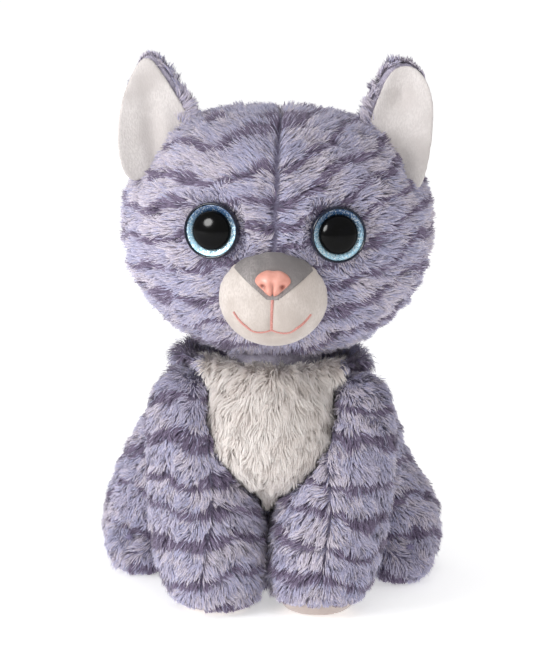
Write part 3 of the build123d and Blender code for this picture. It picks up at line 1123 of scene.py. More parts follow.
@dataclass
class Muzzle:
    """The short-pile muzzle with its grey bridge, moulded nose and sewn mouth."""

    voxel: float = 1.5 * MM
    bridge_rise: float = 0.45 * MM
    cheek_swell: float = 2.2 * MM
    chin_fold: float = 1.3 * MM
    stitch_gap: float = 0.38 * MM
    stitch: tuple[float, float, float] = (0.78 * MM, 0.34 * MM, 0.30 * MM)
    smile_sag: float = 1.5 * MM
    smile_rise: float = 6.9 * MM

    def __post_init__(self) -> None:
        """Read the muzzle's places from the frame."""
        self.low, self.high = span_of("muzzle_cover", "muzzle_bridge")
        self.bridge_low, self.bridge_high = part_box("muzzle_bridge")
        self.nose_low, self.nose_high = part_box("nose")
        self.mouth_low, self.mouth_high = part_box("mouth_stitching")

    def form(self) -> bpy.types.Object:
        """The muzzle's skin, with full cheeks, a drawn-in middle and a fold under the chin."""
        skin = stuffed_form("muzzle", ("muzzle_cover", "muzzle_bridge", "muzzle_stuffing"), self.voxel, 8)
        puff(skin, 1.0 * MM)
        relax(skin, 3)
        subdivide(skin)
        points = positions(skin.data)
        ahead = smoothstep(self.high.y, self.low.y + 6 * MM, points[:, 1])
        middle_z = self.mouth_low.z + 3 * MM
        swell = (bump_at(points, (11 * MM, self.low.y, middle_z), (11 * MM, 0.05, 10 * MM))
                 + bump_at(points, (-11 * MM, self.low.y, middle_z), (11 * MM, 0.05, 10 * MM)))
        draw_in = bump_at(points, (0, self.low.y, middle_z + 4 * MM), (1.6 * MM, 0.05, 7 * MM))
        fold = bump_at(points, (0, self.low.y, self.low.z + 8.5 * MM), (13 * MM, 0.05, 1.3 * MM))
        points[:, 1] -= ahead * (self.cheek_swell * swell - 1.1 * MM * draw_in - self.chin_fold * fold)
        set_positions(skin.data, points)
        return skin

    def bridge(self, skin: bpy.types.Object) -> bpy.types.Object:
        """The grey panel over the nose, cut from the muzzle's own surface and laid on it."""
        work = bmesh.new()
        work.from_mesh(skin.data)
        corner = 0.5 * (self.bridge_low.z + self.bridge_high.z) + 2 * MM
        foot, low = 1.6 * MM, self.bridge_low.z + 0.8 * MM
        edge = [(foot, low), (2.2 * foot, low + 0.9 * MM), (self.bridge_high.x * 0.93, corner),
                (self.bridge_high.x * 0.62, self.high.z)]
        lines = [((-foot, low), (foot, low)), *zip(edge, edge[1:])]
        lines += [((-x1, z1), (-x0, z0)) for (x0, z0), (x1, z1) in zip(edge, edge[1:])]
        for (x0, z0), (x1, z1) in lines:
            bmesh.ops.bisect_plane(work, geom=work.verts[:] + work.edges[:] + work.faces[:], dist=1e-6,
                                   plane_co=(x0, 0, z0), plane_no=(z1 - z0, 0, x0 - x1), clear_outer=True)
        spare = [face for face in work.faces if face.normal.y > 0.05]
        bmesh.ops.delete(work, geom=spare, context="FACES")
        piece = from_bmesh("muzzle_bridge_panel", work)
        sink(piece, -self.bridge_rise)
        wall = piece.modifiers.new("thickness", "SOLIDIFY")
        wall.thickness = 1.1 * MM
        wall.offset = -1.0
        bake_modifiers(piece)
        return piece

    def nose(self) -> bpy.types.Object:
        """The moulded nose: two lobes, a crease below and a nostril each side."""
        work = bmesh.new()
        bmesh.ops.create_uvsphere(work, u_segments=56, v_segments=40, radius=1.0)
        piece = from_bmesh("nose_moulding", work)
        points = positions(piece.data)
        half = (self.nose_high - self.nose_low) / 2
        x, y, z = points.T
        width = 0.60 + 0.44 * smoothstep(-0.75, 0.25, z) - 0.05 * smoothstep(0.6, 1.0, z)
        top_dip = 0.10 * np.exp(-(x / 0.25) ** 2) * smoothstep(0.3, 1.0, z)
        points = np.stack([x * width * 0.98, y, (z - top_dip) * 1.08], axis=1)
        crease = np.exp(-(x / 0.08) ** 2) * smoothstep(0.35, -0.15, z)
        out = np.abs(x) - 0.60
        nostril = np.exp(-(out / 0.17) ** 2 - ((z + 0.16 + 0.4 * out) / 0.20) ** 2)
        lobes = np.exp(-((np.abs(x) - 0.36) / 0.34) ** 2 - ((z + 0.05) / 0.5) ** 2)
        points[:, 1] -= np.where(y < 0, 0.22 * lobes - 0.40 * crease - 0.75 * nostril, 0.0)
        # Painted shade in the nostril pits and the crease, kept as a point attribute.
        shade_mask = piece.data.attributes.new("pit", "FLOAT", "POINT")
        dark = np.where(y < 0, 0.35 * crease + 0.85 * nostril ** 1.5, 0.0)
        shade_mask.data.foreach_set("value", dark.astype(np.float32))
        centre = (self.nose_low + self.nose_high) / 2
        front = self.nose_low.y
        points *= (half.x, 4.4 * MM, half.z)
        points += (centre.x, front + 4.6 * MM, centre.z)
        set_positions(piece.data, points)
        relax(piece, 1, 0.3)
        return piece

    def mouth_line(self) -> list[tuple[float, float]]:
        """The sewn line on XZ: down from the nose, then out along both sides of the smile."""
        fork = self.mouth_low.z + 2.6 * MM
        half = self.mouth_high.x * 0.95
        steps = [(0.0, z) for z in np.arange(self.nose_low.z + 1 * MM, fork, -self.stitch_gap)]
        for sign in (-1, 1):
            for step in np.linspace(0.0, 1.0, int(half * 1.15 / self.stitch_gap)):
                sag = self.smile_sag * math.sin(math.pi * min(step / 0.66, 1.0))
                rise = self.smile_rise * max(0.0, (step - 0.42) / 0.58) ** 2.0
                steps.append((sign * half * step, fork - sag + rise))
        return steps

    def mouth(self, skin: bpy.types.Object) -> bpy.types.Object:
        """Satin stitches laid side by side on the muzzle along the mouth's line."""
        surface = BVHTree.FromObject(skin, bpy.context.evaluated_depsgraph_get())
        work = bmesh.new()
        line = self.mouth_line()
        for index, (x, z) in enumerate(line):
            hit, normal, _, _ = surface.ray_cast(Vector((x, self.low.y - 0.02, z)), Vector((0, 1, 0)))
            if hit is None:
                continue
            last = line[index - 1] if index else (x, z + 1)
            along = Vector((x - last[0], 0, z - last[1]))
            if along.length > 3 * MM or along.length < 1e-7:
                down = index == 0 or abs(x) < 1e-6
                along = Vector((0, 0, -1)) if down else Vector((math.copysign(1, x), 0, -0.3))
            cross = along.normalized().cross(normal).normalized()
            slant = (cross + 0.28 * along.normalized()).normalized()
            turn = Matrix((slant, normal.cross(slant), normal)).transposed().to_4x4()
            made = bmesh.ops.create_uvsphere(work, u_segments=8, v_segments=5, radius=1.0)["verts"]
            size = Matrix.Diagonal((*self.stitch, 1.0))
            place = Matrix.Translation(hit + normal * 0.1 * MM)
            bmesh.ops.transform(work, matrix=place @ turn @ size, verts=made)
        return from_bmesh("mouth_stitches", work)

    def build(self) -> None:
        """Build and dress the muzzle, its bridge, the nose and the mouth."""
        skin = dress(self.form(), CREAM_VELBOA)
        settle(skin, "head", "cream_velboa", "muzzle_cover", "muzzle_stuffing")
        settle(dress(self.bridge(skin), GREY_VELBOA), "head", "grey_velboa", "muzzle_bridge")
        settle(dress(self.nose(), PINK_VINYL), "head", "pink_vinyl", "nose")
        settle(dress(self.mouth(skin), PINK_THREAD), "head", "pink_thread", "mouth_stitching")
        dress(frame["nodes"]["nose_washer"], WASHER_PLASTIC)


# ---------------------------------------------------------------- ears
@dataclass
class Ear:
    """An ear: a smooth cream leaf with soft folds, furred behind and round its rim."""

    side: Side
    cup: float = 2.6 * MM
    dent: float = 0.0
    lean: float = 0.0             # how far the tip leans outwards
    blunt: float = 2.6 * MM       # half the width of the tip
    draw_in: float = 0.0          # how far the outer edge is drawn in
    forward: float = 5.0 * MM
    lining_share: float = 0.975
    lining_out: float = 1.6 * MM
    fur_edge: float = -0.35       # how far out on the front the inner edge's pile grows
    thickness: float = 4.6 * MM
    pile: Pile = Pile(
        density=4.4, length=5.0 * MM, width=0.38 * MM, lift=30.0, tuft_area=8.0, tuft_pull=0.35,
        seed=301)

    def __post_init__(self) -> None:
        """Read the ear's place from the frame."""
        word = self.side.word
        self.body = f"{word}_ear"
        self.low, self.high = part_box(f"{word}_ear_back")
        head_high = span_of("left_face_cover", "right_face_cover")[1]
        inner, outer = sorted((abs(self.low.x), abs(self.high.x)))
        self.tip = (0.42 * inner + 0.58 * outer, self.high.z)
        tip = self.tip[0] + self.lean
        edge = outer - self.draw_in
        self.rim = (                                   # the leaf's edge on XZ, from its inner root round
            (inner + 1 * MM, head_high.z - 19 * MM), (inner + 1.5 * MM, head_high.z - 6 * MM),
            (inner + 7.5 * MM + self.lean, self.high.z - 15 * MM), (tip - self.blunt, self.high.z - 1.6 * MM),
            (tip + self.blunt, self.high.z - 0.8 * MM),
            (edge + 1 * MM + 0.7 * self.draw_in, self.high.z - 15 * MM),
            (edge + 4.5 * MM, self.high.z - 33 * MM), (edge + 2.0 * MM, self.high.z - 50 * MM),
            (edge - 4.0 * MM + 0.4 * self.draw_in, self.high.z - 60 * MM),
            (0.5 * (inner + outer), head_high.z - 27 * MM))
        self.middle = np.array((0.5 * (inner + outer) + 1 * MM, self.high.z - 30 * MM))

    def leaf(self, name: str, share: float, outward: float, ahead: float, depth: float) -> bpy.types.Object:
        """A leaf-shaped pad.

        Args:
            name: The pad's name.
            share: Its size against the ear's edge.
            outward: How far it is set towards the ear's outer edge.
            ahead: How far in front of the ear's plane its front is.
            depth: Its thickness.

        Returns:
            The pad.
        """
        curve = bpy.data.curves.new(name, "CURVE")
        curve.dimensions = "2D"
        curve.fill_mode = "BOTH"
        curve.extrude = depth / 2
        curve.bevel_depth = depth * 0.32
        curve.bevel_resolution = 2
        edge = curve.splines.new("NURBS")
        edge.points.add(len(self.rim) - 1)
        for point, (x, z) in zip(edge.points, self.rim):
            place = self.middle + (np.array((x, z)) - self.middle) * share
            point.co = ((place[0] + outward) * self.side.value, place[1], 0.0, 1.0)
        edge.use_cyclic_u = True
        edge.order_u = 4
        edge.resolution_u = 10
        holder = bpy.data.objects.new(name, curve)
        bpy.context.scene.collection.objects.link(holder)
        mesh = bpy.data.meshes.new_from_object(holder)
        bpy.data.objects.remove(holder)
        piece = place_object(name, mesh)
        remesh = piece.modifiers.new("remesh", "REMESH")
        remesh.mode = "VOXEL"
        remesh.voxel_size = 0.9 * MM
        bake_modifiers(piece)
        relax(piece, 4)
        points = positions(piece.data)
        flat_y = (self.low.y + self.high.y) / 2 - self.forward
        upright = np.stack([points[:, 0], flat_y - ahead - points[:, 2], points[:, 1]], axis=1)
        set_positions(piece.data, upright)
        work = bmesh.new()
        work.from_mesh(piece.data)
        bmesh.ops.recalc_face_normals(work, faces=work.faces)
        work.to_mesh(piece.data)
        work.free()
        return piece

    def across(self, points: Array) -> tuple[Array, Array]:
        """How far points are out from the ear's middle, and how far up it, as shares."""
        up = points[:, 2] - self.middle[1]
        out = (points[:, 0] * self.side.value - self.middle[0] - 0.12 * up) / (16 * MM)
        return out, (up + 28 * MM) / (58 * MM)

    def shape(self, piece: bpy.types.Object, folds: float) -> None:
        """Lean the ear's root forwards, cup its edges and add soft folds.

        Args:
            piece: A pad of the ear.
            folds: The folds' depth.
        """
        points = positions(piece.data)
        out, along = self.across(points)
        low_part = smoothstep(1.05, 0.15, along)
        points[:, 1] -= self.cup * np.clip(out, -1.3, 1.3) ** 2 * (0.35 + 0.65 * low_part)
        points[:, 1] -= 9.0 * MM * smoothstep(0.55, 0.0, along) - 2.0 * MM * smoothstep(0.6, 1.0, along)
        ripple = np.sin(out * 4.0 + 1.4 * along + self.side.value) + 0.6 * np.sin(out * 7.7 - 2.4 * along)
        points[:, 1] += folds * ripple * low_part * np.exp(-(out / 0.8) ** 2)
        hollow = np.exp(-((out + 0.05) / 0.36) ** 2 - ((along - 0.72) / 0.12) ** 2)
        points[:, 1] += self.dent * hollow
        set_positions(piece.data, points)

    def comb(self, points: Array, normals: Array) -> Array:
        """The nap: up the back and out over the rim."""
        out, along = self.across(points)
        lean = 0.7 * np.clip(out, -1, 1) * self.side.value
        return unit(np.stack([lean, np.full(len(points), -0.15), np.full(len(points), 0.9)], axis=1))

    def crowd(self, points: Array, normals: Array) -> Array:
        """Pile behind and on the rim, thin at the outer edge, and none on the lined front."""
        out, _ = self.across(points)
        edge = smoothstep(0.35, 0.8, out) * smoothstep(0.75, 0.3, normals[:, 1])
        front = smoothstep(-0.5, -0.1, normals[:, 1])
        inner = smoothstep(self.fur_edge, self.fur_edge - 0.3, out)
        return np.maximum(front, inner) * (1.0 - 0.85 * edge)

    def reach(self, points: Array) -> Array:
        """Longer pile on the inner edge than on the outer one."""
        out, _ = self.across(points)
        return 1.2 - 0.8 * smoothstep(-0.4, 0.6, out)

    def build(self) -> None:
        """Build the ear's back, its pile and its lining."""
        word = self.side.word
        back = self.leaf(f"{word}_ear_form", 1.0, 0.0, 0.0, self.thickness * 0.55)
        self.shape(back, 0.25 * MM)
        lining = self.leaf(f"{word}_ear_leaf", self.lining_share, self.lining_out, self.thickness * 0.62,
                           self.thickness * 0.30)
        self.shape(lining, 1.0 * MM)
        subdivide(lining)
        settle(dress(back, ROSE_BACKING), self.body, "lavender_fur")
        settle(dress(lining, EAR_VELBOA), self.body, "cream_velboa", f"{word}_ear_lining")
        roots = self.pile.roots(back, self.comb, self.crowd)
        rim = smoothstep(0.85, 0.35, np.abs(roots.normals[:, 1]))[:, None]
        roots.normals = unit(roots.normals + rim * np.array((0.0, -1.5, 0.4)))
        stripe = Stripes(spacing=16 * MM, cover=-0.2, seed=31, rosy=-0.75)
        coat = self.pile.grow(f"{word}_ear_fur", roots, LAVENDER_SHADES, stripe, self.reach)
        settle(coat, self.body, "lavender_fur", f"{word}_ear_back")


CREASED_EAR = {"dent": 4.5 * MM, "fur_edge": -0.65, "lean": -1.0 * MM, "blunt": 6.0 * MM, "draw_in": 5.5 * MM}
UPRIGHT_EAR = {"dent": 0.8 * MM, "lean": 5.0 * MM}


# ---------------------------------------------------------------- torso
@dataclass
class Torso:
    """The torso: striped sides, a long cream chest, and a blank label behind."""

    body: str = "torso"
    sides: Pile = Pile(
        density=2.1, length=6.4 * MM, width=0.48 * MM, tuft_area=10.0, tuft_pull=0.30, seed=401)
    chest: Pile = Pile(
        density=4.7, length=7.2 * MM, width=0.40 * MM, lift=17.0, tuft_area=8.0, tuft_pull=0.18,
        jitter=0.10, seed=431)

    def __post_init__(self) -> None:
        """Read the torso's places from the frame."""
        self.chest_low, self.chest_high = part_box("chest_patch")
        sides_high = span_of("left_side_cover", "right_side_cover")[1]
        self.flank = Vector((sides_high.x, 0.0, 0.62 * sides_high.z))
        self.rim_z = sides_high.z
        self.leg_top = span_of("left_hind_leg_cover")[1].z
        self.limbs = Room("left_front_leg", "right_front_leg", "left_hind_leg", "right_hind_leg", "tail")
        self.head = Room("head", "neck")

    def on_chest(self, points: Array) -> Array:
        """Whether points are on the cream panel."""
        return ((np.abs(points[:, 0]) < self.chest_high.x - 0.3 * MM) & (points[:, 1] < self.chest_high.y)
                & (points[:, 2] > self.chest_low.z))

    def comb(self, points: Array, normals: Array) -> Array:
        """The nap: down, and a little out and back."""
        rim = smoothstep(self.rim_z - 18 * MM, self.rim_z - 4 * MM, points[:, 2])
        down = rim * 0.25 - 1.0
        return unit(np.stack([points[:, 0] * (7.0 + 8.0 * rim), 0.25 + 0 * down, down], axis=1))

    def crowd(self, points: Array, normals: Array) -> Array:
        """No pile in the pockets, under the seat or deep under the head."""
        share = np.ones(len(points))
        share[self.limbs.gap(points) < 1.6 * MM] = 0.0
        share[self.head.gap(points) < 1.6 * MM] = 0.0
        share[points[:, 2] < 2.5 * MM] = 0.0
        return share

    def reach(self, points: Array) -> Array:
        """Shorter pile next to the limbs and the head."""
        rim = smoothstep(self.rim_z - 16 * MM, self.rim_z - 4 * MM, points[:, 2])
        under_head = short_near(self.head.gap(points), start=3.5 * MM, full=10.0 * MM, least=0.6)
        return short_near(self.limbs.gap(points)) * (1.0 + 0.25 * rim) * under_head

    def chest_reach(self, points: Array) -> Array:
        """The chest's pile hangs a little over the legs."""
        return np.minimum(short_near(self.limbs.gap(points), full=4.0 * MM, least=0.55),
                          short_near(self.head.gap(points), least=0.7))

    def chest_comb(self, points: Array, normals: Array) -> Array:
        """The chest's nap: straight down, fanning out a little."""
        flat = np.zeros(len(points))
        return unit(np.stack([points[:, 0] * 9.0, flat - 0.05, flat - 1.0], axis=1))

    def label(self) -> bpy.types.Object:
        """The blank satin label, sewn in at its top and curling at its end."""
        low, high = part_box("care_label")
        work = bmesh.new()
        bmesh.ops.create_grid(work, x_segments=10, y_segments=14, size=1.0)
        piece = from_bmesh("blank_label", work)
        points = positions(piece.data)
        x, z = points[:, 0], points[:, 1]
        curl = 0.9 * MM * np.cos(x * 2.2) + 2.4 * MM * smoothstep(0.2, -1.0, z) ** 2
        set_positions(piece.data, np.stack([x * (high.x - low.x) / 2, high.y + 1.6 * MM + curl,
                                            (low.z + high.z) / 2 + z * (high.z - low.z) / 2], axis=1))
        wall = piece.modifiers.new("thickness", "SOLIDIFY")
        wall.thickness = 0.5 * MM
        finer = piece.modifiers.new("finer", "SUBSURF")
        finer.levels = finer.render_levels = 1
        bake_modifiers(piece)
        return piece

    def build(self) -> None:
        """Build the torso's form, its pile and its label."""
        skin = stuffed_form("torso_form", ("left_side_cover", "right_side_cover", "chest_patch", "seat_panel",
                                           "body_stuffing", "bean_pouch"), 2.8 * MM, 3)
        points = positions(skin.data)
        shoulder = smoothstep(self.rim_z - 20 * MM, self.rim_z - 4 * MM, points[:, 2])
        shoulder *= np.abs(points[:, 0]) > 24 * MM
        points[:, 0] += shoulder * np.where(points[:, 0] < 0, -6.0, 4.0) * MM
        set_positions(skin.data, points)
        flank = bump_at(points * (1, 0, 1), (self.flank.x, 0, self.flank.z), (16 * MM, 1, 26 * MM))
        far_flank = bump_at(points * (-1, 0, 1), (self.flank.x, 0, self.flank.z), (16 * MM, 1, 26 * MM))
        over_leg = smoothstep(self.leg_top - 4 * MM, self.leg_top + 12 * MM, points[:, 2])
        sink(skin, 1.2 * MM + over_leg * (0.8 * MM + 8.0 * MM * flank + 2.0 * MM * far_flank))
        settle(dress(skin, LAVENDER_BACKING), self.body, "lavender_fur", "body_stuffing", "seat_panel")
        skin.data.materials.append(SHADE_BOOK.material(CREAM_BACKING))
        middles = np.array([face.center[:] for face in skin.data.polygons])
        skin.data.polygons.foreach_set("material_index", self.on_chest(middles).astype(np.int32))
        roots = self.sides.roots(skin, self.comb, self.crowd)
        side = ~self.on_chest(roots.points)
        left = roots.points[:, 0] > 0
        stripes = Stripes(spacing=15 * MM, warp=3.2 * MM, cover=0.27, seed=41,
                          slant=lambda p: p[:, 2] + 0.35 * p[:, 1] + 0.25 * np.abs(p[:, 0]))
        for name, keep in (("left_side", side & left), ("right_side", side & ~left)):
            coat = self.sides.grow(f"{name}_fur", roots.only(keep), LAVENDER_SHADES, stripes, self.reach)
            settle(coat, self.body, "lavender_fur", f"{name}_cover")
        roots = self.chest.roots(skin, self.chest_comb, self.crowd)
        bib = self.chest.grow("chest_fur", roots.only(self.on_chest(roots.points)), CREAM_SHADES, cream_mix,
                              self.chest_reach)
        settle(bib, self.body, "cream_fur", "chest_patch")
        settle(dress(self.label(), LABEL_SATIN), self.body, "label_satin", "care_label")
        dress(frame["nodes"]["bean_pouch"], POUCH_CLOTH)
        neck = stuffed_form("neck_form", ("neck_stuffing",), 2.4 * MM, 2)
        settle(dress(neck, ROSE_BACKING), "neck", "stuffing", "neck_stuffing")


# ---------------------------------------------------------------- legs
@dataclass
class FrontLeg:
    """A front leg: smooth outside its seam, tufted inside it, with a cream sole."""

    side: Side
    sole_front: float = 4.0 * MM
    sole_back: float = 2.0 * MM
    smooth: Pile = Pile(
        density=3.0, length=5.4 * MM, width=0.42 * MM, lift=25.0, tuft_area=8.0, tuft_pull=0.24,
        jitter=0.13, seed=501)
    tufted: Pile = Pile(
        density=3.0, length=6.6 * MM, width=0.42 * MM, lift=34.0, tuft_area=11.0, tuft_pull=0.42,
        jitter=0.18, seed=531)

    def __post_init__(self) -> None:
        """Read the leg's place from the frame."""
        word = self.side.word
        self.body = f"{word}_front_leg"
        self.low, self.high = span_of(f"{word}_front_leg_cover", f"{word}_front_sole")
        other = Side.LEFT if self.side is Side.RIGHT else Side.RIGHT
        self.room = Room("torso", "head", f"{other.word}_front_leg", f"{word}_hind_leg")
        self.seam = 0.5 * (self.low.x + self.high.x) - self.side.value * 2.0 * MM

    def inner(self, points: Array) -> Array:
        """Whether points are between the leg's seam and the toy's middle."""
        wander = 1.5 * MM * np.sin(points[:, 2] * 90.0)
        return (points[:, 0] - self.seam + wander) * self.side.value < 0

    def comb(self, points: Array, normals: Array) -> Array:
        """The nap: down on both sides, parted at the seam."""
        down = np.full(len(points), -1.0)
        away = np.where(self.inner(points), -0.40, 0.25) * self.side.value
        return unit(np.stack([away, 0.12 + 0 * down, down], axis=1))

    def sole_line(self, points: Array) -> Array:
        """How high the sole comes at some points."""
        share = smoothstep(self.high.y, self.low.y, points[:, 1])
        return self.sole_back + (self.sole_front - self.sole_back) * share

    def crowd(self, points: Array, normals: Array) -> Array:
        """No pile on the sole or against the other bodies."""
        share = np.ones(len(points))
        share[self.room.gap(points) < 1.4 * MM] = 0.0
        share[points[:, 2] < self.sole_line(points)] = 0.0
        return share

    def reach(self, points: Array) -> Array:
        """Shorter pile next to the other bodies and above the sole."""
        over = smoothstep(0.0, 6 * MM, points[:, 2] - self.sole_line(points))
        return short_near(self.room.gap(points), least=0.3) * (0.45 + 0.55 * over)

    def sole(self, skin: bpy.types.Object) -> bpy.types.Object:
        """The sole: the bottom of the leg's own form, a little proud of it."""
        work = bmesh.new()
        work.from_mesh(skin.data)
        rise = Vector((0, self.low.y - self.high.y, self.sole_front - self.sole_back))
        normal = Vector((1, 0, 0)).cross(rise).normalized()
        normal = normal if normal.z > 0 else -normal
        bmesh.ops.bisect_plane(work, geom=work.verts[:] + work.edges[:] + work.faces[:], dist=1e-6,
                               plane_co=(0, self.high.y, self.sole_back + 1.2 * MM), plane_no=normal,
                               clear_outer=True)
        bmesh.ops.holes_fill(work, edges=[edge for edge in work.edges if edge.is_boundary], sides=0)
        bmesh.ops.triangulate(work, faces=[face for face in work.faces if len(face.verts) > 4])
        piece = from_bmesh(f"{self.side.word}_sole_pad", work)
        sink(piece, -0.7 * MM)
        keep_above(piece, 0.0)
        return piece

    def build(self) -> None:
        """Build the leg's form, its sole and its pile."""
        word = self.side.word
        nodes = (f"{word}_front_leg_cover", f"{word}_front_leg_stuffing", f"{word}_front_sole")
        skin = stuffed_form(f"{word}_front_leg_form", nodes, 2.4 * MM, 3)
        puff(skin, 0.8 * MM)
        sink(skin, 2.2 * MM)
        keep_above(skin, 0.8 * MM)
        settle(dress(skin, LAVENDER_BACKING), self.body, "lavender_fur", f"{word}_front_leg_stuffing")
        settle(dress(self.sole(skin), SOLE_VELBOA), self.body, "cream_velboa", f"{word}_front_sole")
        stripes = Stripes(spacing=15.5 * MM, warp=2.6 * MM, cover=0.27, seed=51 + self.side.value, rosy=0.25,
                          slant=lambda p: p[:, 2] + 0.12 * p[:, 0] * self.side.value)
        outer = self.smooth.roots(skin, self.comb, self.crowd)
        inner = self.tufted.roots(skin, self.comb, self.crowd)
        coat = self.smooth.grow(f"{word}_front_leg_outer_fur", outer.only(~self.inner(outer.points)),
                                LAVENDER_SHADES, stripes, self.reach)
        settle(coat, self.body, "lavender_fur", f"{word}_front_leg_cover")
        # The inner side gets more of the rose shade: pale tipping and painted sheen highlight.
        rose_sheen_stripes = replace(stripes, rosy=-0.35)
        coat = self.tufted.grow(f"{word}_front_leg_inner_fur", inner.only(self.inner(inner.points)),
                                LAVENDER_SHADES, rose_sheen_stripes, self.reach)
        settle(coat, self.body, "lavender_fur")


@dataclass
class HindLeg:
    """A hind leg: a smooth haunch over a toe drawn in by a hidden tack."""

    side: Side
    tack_draw: float = 3.2 * MM
    upper_draw: float = 1.0 * MM
    pile: Pile = Pile(
        density=2.3, length=5.2 * MM, width=0.45 * MM, lift=26.0, tuft_pull=0.26, tuft_area=9.0,
        jitter=0.15, seed=601)

    def __post_init__(self) -> None:
        """Read the leg's place from the frame."""
        word = self.side.word
        self.body = f"{word}_hind_leg"
        self.low, self.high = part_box(f"{word}_hind_leg_cover")
        self.near, self.far = sorted((abs(self.low.x), abs(self.high.x)))
        low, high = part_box(f"{word}_toe_tack")
        self.tack = Vector(((low.x + high.x) / 2, low.y, (low.z + high.z) / 2))
        self.room = Room("torso", f"{word}_front_leg")

    def comb(self, points: Array, normals: Array) -> Array:
        """The nap: down and back, and in towards the tack."""
        down = np.full(len(points), -1.0)
        flow = unit(np.stack([0.35 * self.side.value + 0 * down, 0.45 + 0 * down, down], axis=1))
        toward = np.array(self.tack) - points
        near = np.exp(-(np.linalg.norm(toward, axis=1) / (9 * MM)) ** 2)[:, None]
        return unit(flow + 1.2 * near * unit(toward))

    def crowd(self, points: Array, normals: Array) -> Array:
        """No pile underneath or against the other bodies."""
        share = np.ones(len(points))
        share[self.room.gap(points) < 1.4 * MM] = 0.0
        share[points[:, 2] < 1.6 * MM] = 0.0
        return share

    def reach(self, points: Array) -> Array:
        """Shorter pile next to the other bodies and on the ground."""
        over = smoothstep(0.0, 8 * MM, points[:, 2])
        return short_near(self.room.gap(points), least=0.3) * (0.5 + 0.5 * over)

    def stitches(self) -> bpy.types.Object:
        """The tack: four small stitches pulled into the pile."""
        work = bmesh.new()
        for turn in range(4):
            made = bmesh.ops.create_uvsphere(work, u_segments=10, v_segments=6, radius=1.0)["verts"]
            angle = math.radians(45 * turn + 10)
            place = Matrix.Translation(self.tack + Vector((0, 1.4 * MM, 0)))
            bmesh.ops.transform(work, verts=made, matrix=place @ Matrix.Rotation(angle, 4, "Y")
                                @ Matrix.Diagonal((2.3 * MM, 0.6 * MM, 0.45 * MM, 1.0)))
        return from_bmesh(f"{self.side.word}_toe_stitches", work)

    def build(self) -> None:
        """Build the leg's form, its pile and its tack."""
        word = self.side.word
        skin = stuffed_form(f"{word}_hind_leg_form", (f"{word}_hind_leg_cover", f"{word}_hind_leg_stuffing",
                                                      f"{word}_toe_tack"), 2.4 * MM, 3)
        puff(skin, 0.8 * MM)
        points = positions(skin.data)
        pull = self.tack_draw * bump_at(points, self.tack, (5 * MM, 9 * MM, 8 * MM))
        outer = smoothstep(0.45, 0.75, (points[:, 0] * self.side.value - self.near) / (self.far - self.near))
        upper = self.upper_draw * smoothstep(30 * MM, 60 * MM, points[:, 2])
        sink(skin, 1.2 * MM + pull + outer * (0.8 * MM + upper))
        keep_above(skin, 0.6 * MM)
        settle(dress(skin, LAVENDER_BACKING), self.body, "lavender_fur", f"{word}_hind_leg_stuffing")
        centre = np.array(((self.low.x + self.high.x) / 2, self.low.y, self.low.z))
        stripes = Stripes(spacing=17 * MM, warp=3.0 * MM, cover=0.22, seed=61 + self.side.value,
                          slant=lambda p: np.linalg.norm((p - centre) * (0.6, 0.7, 1.0), axis=1))
        coat = self.pile.grow(f"{word}_hind_leg_fur", self.pile.roots(skin, self.comb, self.crowd),
                              LAVENDER_SHADES, stripes, self.reach)
        settle(coat, self.body, "lavender_fur", f"{word}_hind_leg_cover")
        settle(dress(self.stitches(), TACK_THREAD), self.body, "lavender_thread", f"{word}_toe_tack")


@dataclass
class Tail:
    """The tail, standing up behind with rings round it."""

    body: str = "tail"
    pile: Pile = Pile(
        density=2.2, length=6.2 * MM, width=0.48 * MM, tuft_area=10.0, tuft_pull=0.36, seed=701)

    def __post_init__(self) -> None:
        """Read the tail's place from the frame."""
        self.low, self.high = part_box("tail_cover")
        self.room = Room("torso")

    def comb(self, points: Array, normals: Array) -> Array:
        """The nap: along the tail towards its tip."""
        up = smoothstep(self.low.z + 8 * MM, self.low.z + 26 * MM, points[:, 2])
        return unit(np.stack([0 * up, 1.0 - 0.9 * up, 0.15 + up], axis=1))

    def crowd(self, points: Array, normals: Array) -> Array:
        """No pile where the tail is sewn on."""
        return (self.room.gap(points) > 1.6 * MM).astype(float)

    def reach(self, points: Array) -> Array:
        """Shorter pile next to the torso."""
        return short_near(self.room.gap(points), least=0.4)

    def build(self) -> None:
        """Build the tail's form and its pile."""
        skin = stuffed_form("tail_form", ("tail_cover", "tail_stuffing"), 2.2 * MM, 3)
        sink(skin, 1.6 * MM)
        settle(dress(skin, LAVENDER_BACKING), self.body, "lavender_fur", "tail_stuffing")
        stripes = Stripes(spacing=15 * MM, warp=1.6 * MM, cover=0.34, seed=71,
                          slant=lambda p: p[:, 2] + p[:, 1])
        roots = self.pile.roots(skin, self.comb, self.crowd)
        coat = self.pile.grow("tail_fur", roots, LAVENDER_SHADES, stripes, self.reach)
        settle(coat, self.body, "lavender_fur", "tail_cover")


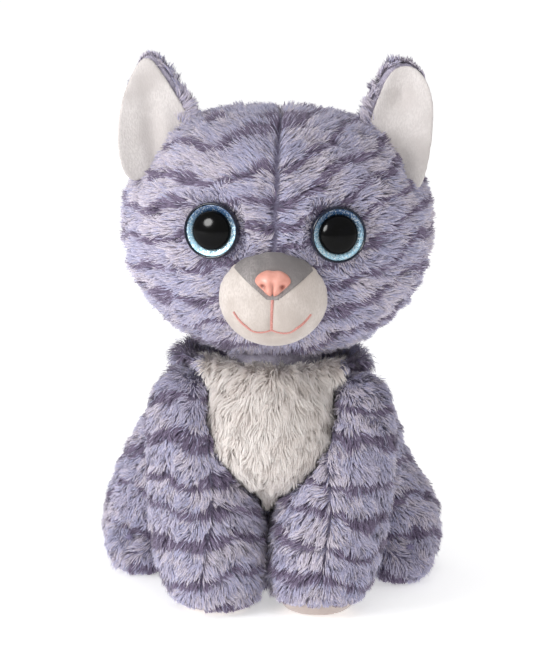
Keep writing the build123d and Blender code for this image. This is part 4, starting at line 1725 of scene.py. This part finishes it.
# ---------------------------------------------------------------- stage
@dataclass
class Studio:
    """The plain floor, the light and the camera."""

    azimuth: float = 1.5
    elevation: float = 12.0
    roll: float = 1.6
    distance: float = 1.5
    view_height: float = 0.310
    target: tuple[float, float, float] = (-0.0043, 0.0, 0.1185)
    surround: float = 0.60

    def direction(self) -> Vector:
        """From the toy towards the camera."""
        turn, rise = math.radians(self.azimuth), math.radians(self.elevation)
        return Vector((math.sin(turn) * math.cos(rise), -math.cos(turn) * math.cos(rise), math.sin(rise)))

    def camera(self) -> None:
        """Make the camera."""
        data = bpy.data.cameras.new("camera")
        data.sensor_width = 36.0
        data.lens = data.sensor_width * self.distance / self.view_height
        data.clip_end = 20.0
        eye = bpy.data.objects.new("camera", data)
        bpy.context.scene.collection.objects.link(eye)
        eye.location = Vector(self.target) + self.direction() * self.distance
        aim = (-self.direction()).to_track_quat("-Z", "Y") @ Quaternion((0, 0, 1), math.radians(self.roll))
        eye.rotation_euler = aim.to_euler()
        bpy.context.scene.camera = eye
        bpy.context.scene.view_settings.view_transform = "Standard"

    def lamp(self, name: str, place: Vector, size: float, power: float, mirrored: bool) -> None:
        """Make a round soft light that looks at the toy.

        Args:
            name: The light's name.
            place: Where it stands.
            size: Its diameter.
            power: Its power in watts.
            mirrored: Whether it shows in glossy pieces.
        """
        data = bpy.data.lights.new(name, "AREA")
        data.shape = "DISK"
        data.size = size
        data.energy = power
        lamp = bpy.data.objects.new(name, data)
        bpy.context.scene.collection.objects.link(lamp)
        lamp.location = place
        lamp.rotation_euler = (Vector((0, 0, 0.12)) - place).to_track_quat("-Z", "Y").to_euler()
        lamp.visible_glossy = mirrored
        lamp.visible_diffuse = not mirrored

    def backdrop(self) -> None:
        """A white surround that lights the toy less than it shows."""
        world = bpy.data.worlds.new("world")
        bpy.context.scene.world = world
        world.use_nodes = True
        surround = world.node_tree.nodes["Background"]
        surround.inputs["Color"].default_value = (1.0, 1.0, 1.0, 1.0)
        path = world.node_tree.nodes.new("ShaderNodeLightPath")
        span = world.node_tree.nodes.new("ShaderNodeMapRange")
        span.inputs["To Min"].default_value = self.surround
        world.node_tree.links.new(path.outputs["Is Camera Ray"], span.inputs["Value"])
        world.node_tree.links.new(span.outputs["Result"], surround.inputs["Strength"])

    def build(self) -> None:
        """Make the floor, the light and the camera."""
        self.camera()
        work = bmesh.new()
        bmesh.ops.create_grid(work, x_segments=1, y_segments=1, size=3.0)
        floor = from_bmesh("floor", work, smooth=False)
        paint = Paint("floor_paper")
        floor.data.materials.append(paint.finish(Base_Color=(0.95, 0.95, 0.95), Roughness=0.9,
                                                Emission_Color=(1.0, 1.0, 1.0), Emission_Strength=0.46))
        self.lamp("key", Vector((-1.35, -1.0, 0.60)), 0.8, 15.0, False)
        self.lamp("top", Vector((0.1, -0.9, 1.5)), 1.0, 2.5, False)
        self.lamp("glint", Vector((-0.80, -1.00, 0.75)), 0.62, 34.0, True)
        self.backdrop()


def main() -> None:
    """Build the toy in order."""
    logging.basicConfig(level=logging.INFO, format="%(message)s")
    Studio().build()
    Head().build()
    Muzzle().build()
    for side in Side:
        Eye(side).build()
        uneven = side is Side.LEFT
        Ear(side, **(CREASED_EAR if uneven else UPRIGHT_EAR)).build()
        FrontLeg(side, sole_front=(8.0 if uneven else 3.5) * MM).build()
        HindLeg(side, upper_draw=(6.0 if uneven else 1.0) * MM).build()
    Torso().build()
    Tail().build()


if __name__ == "__main__":
    main()
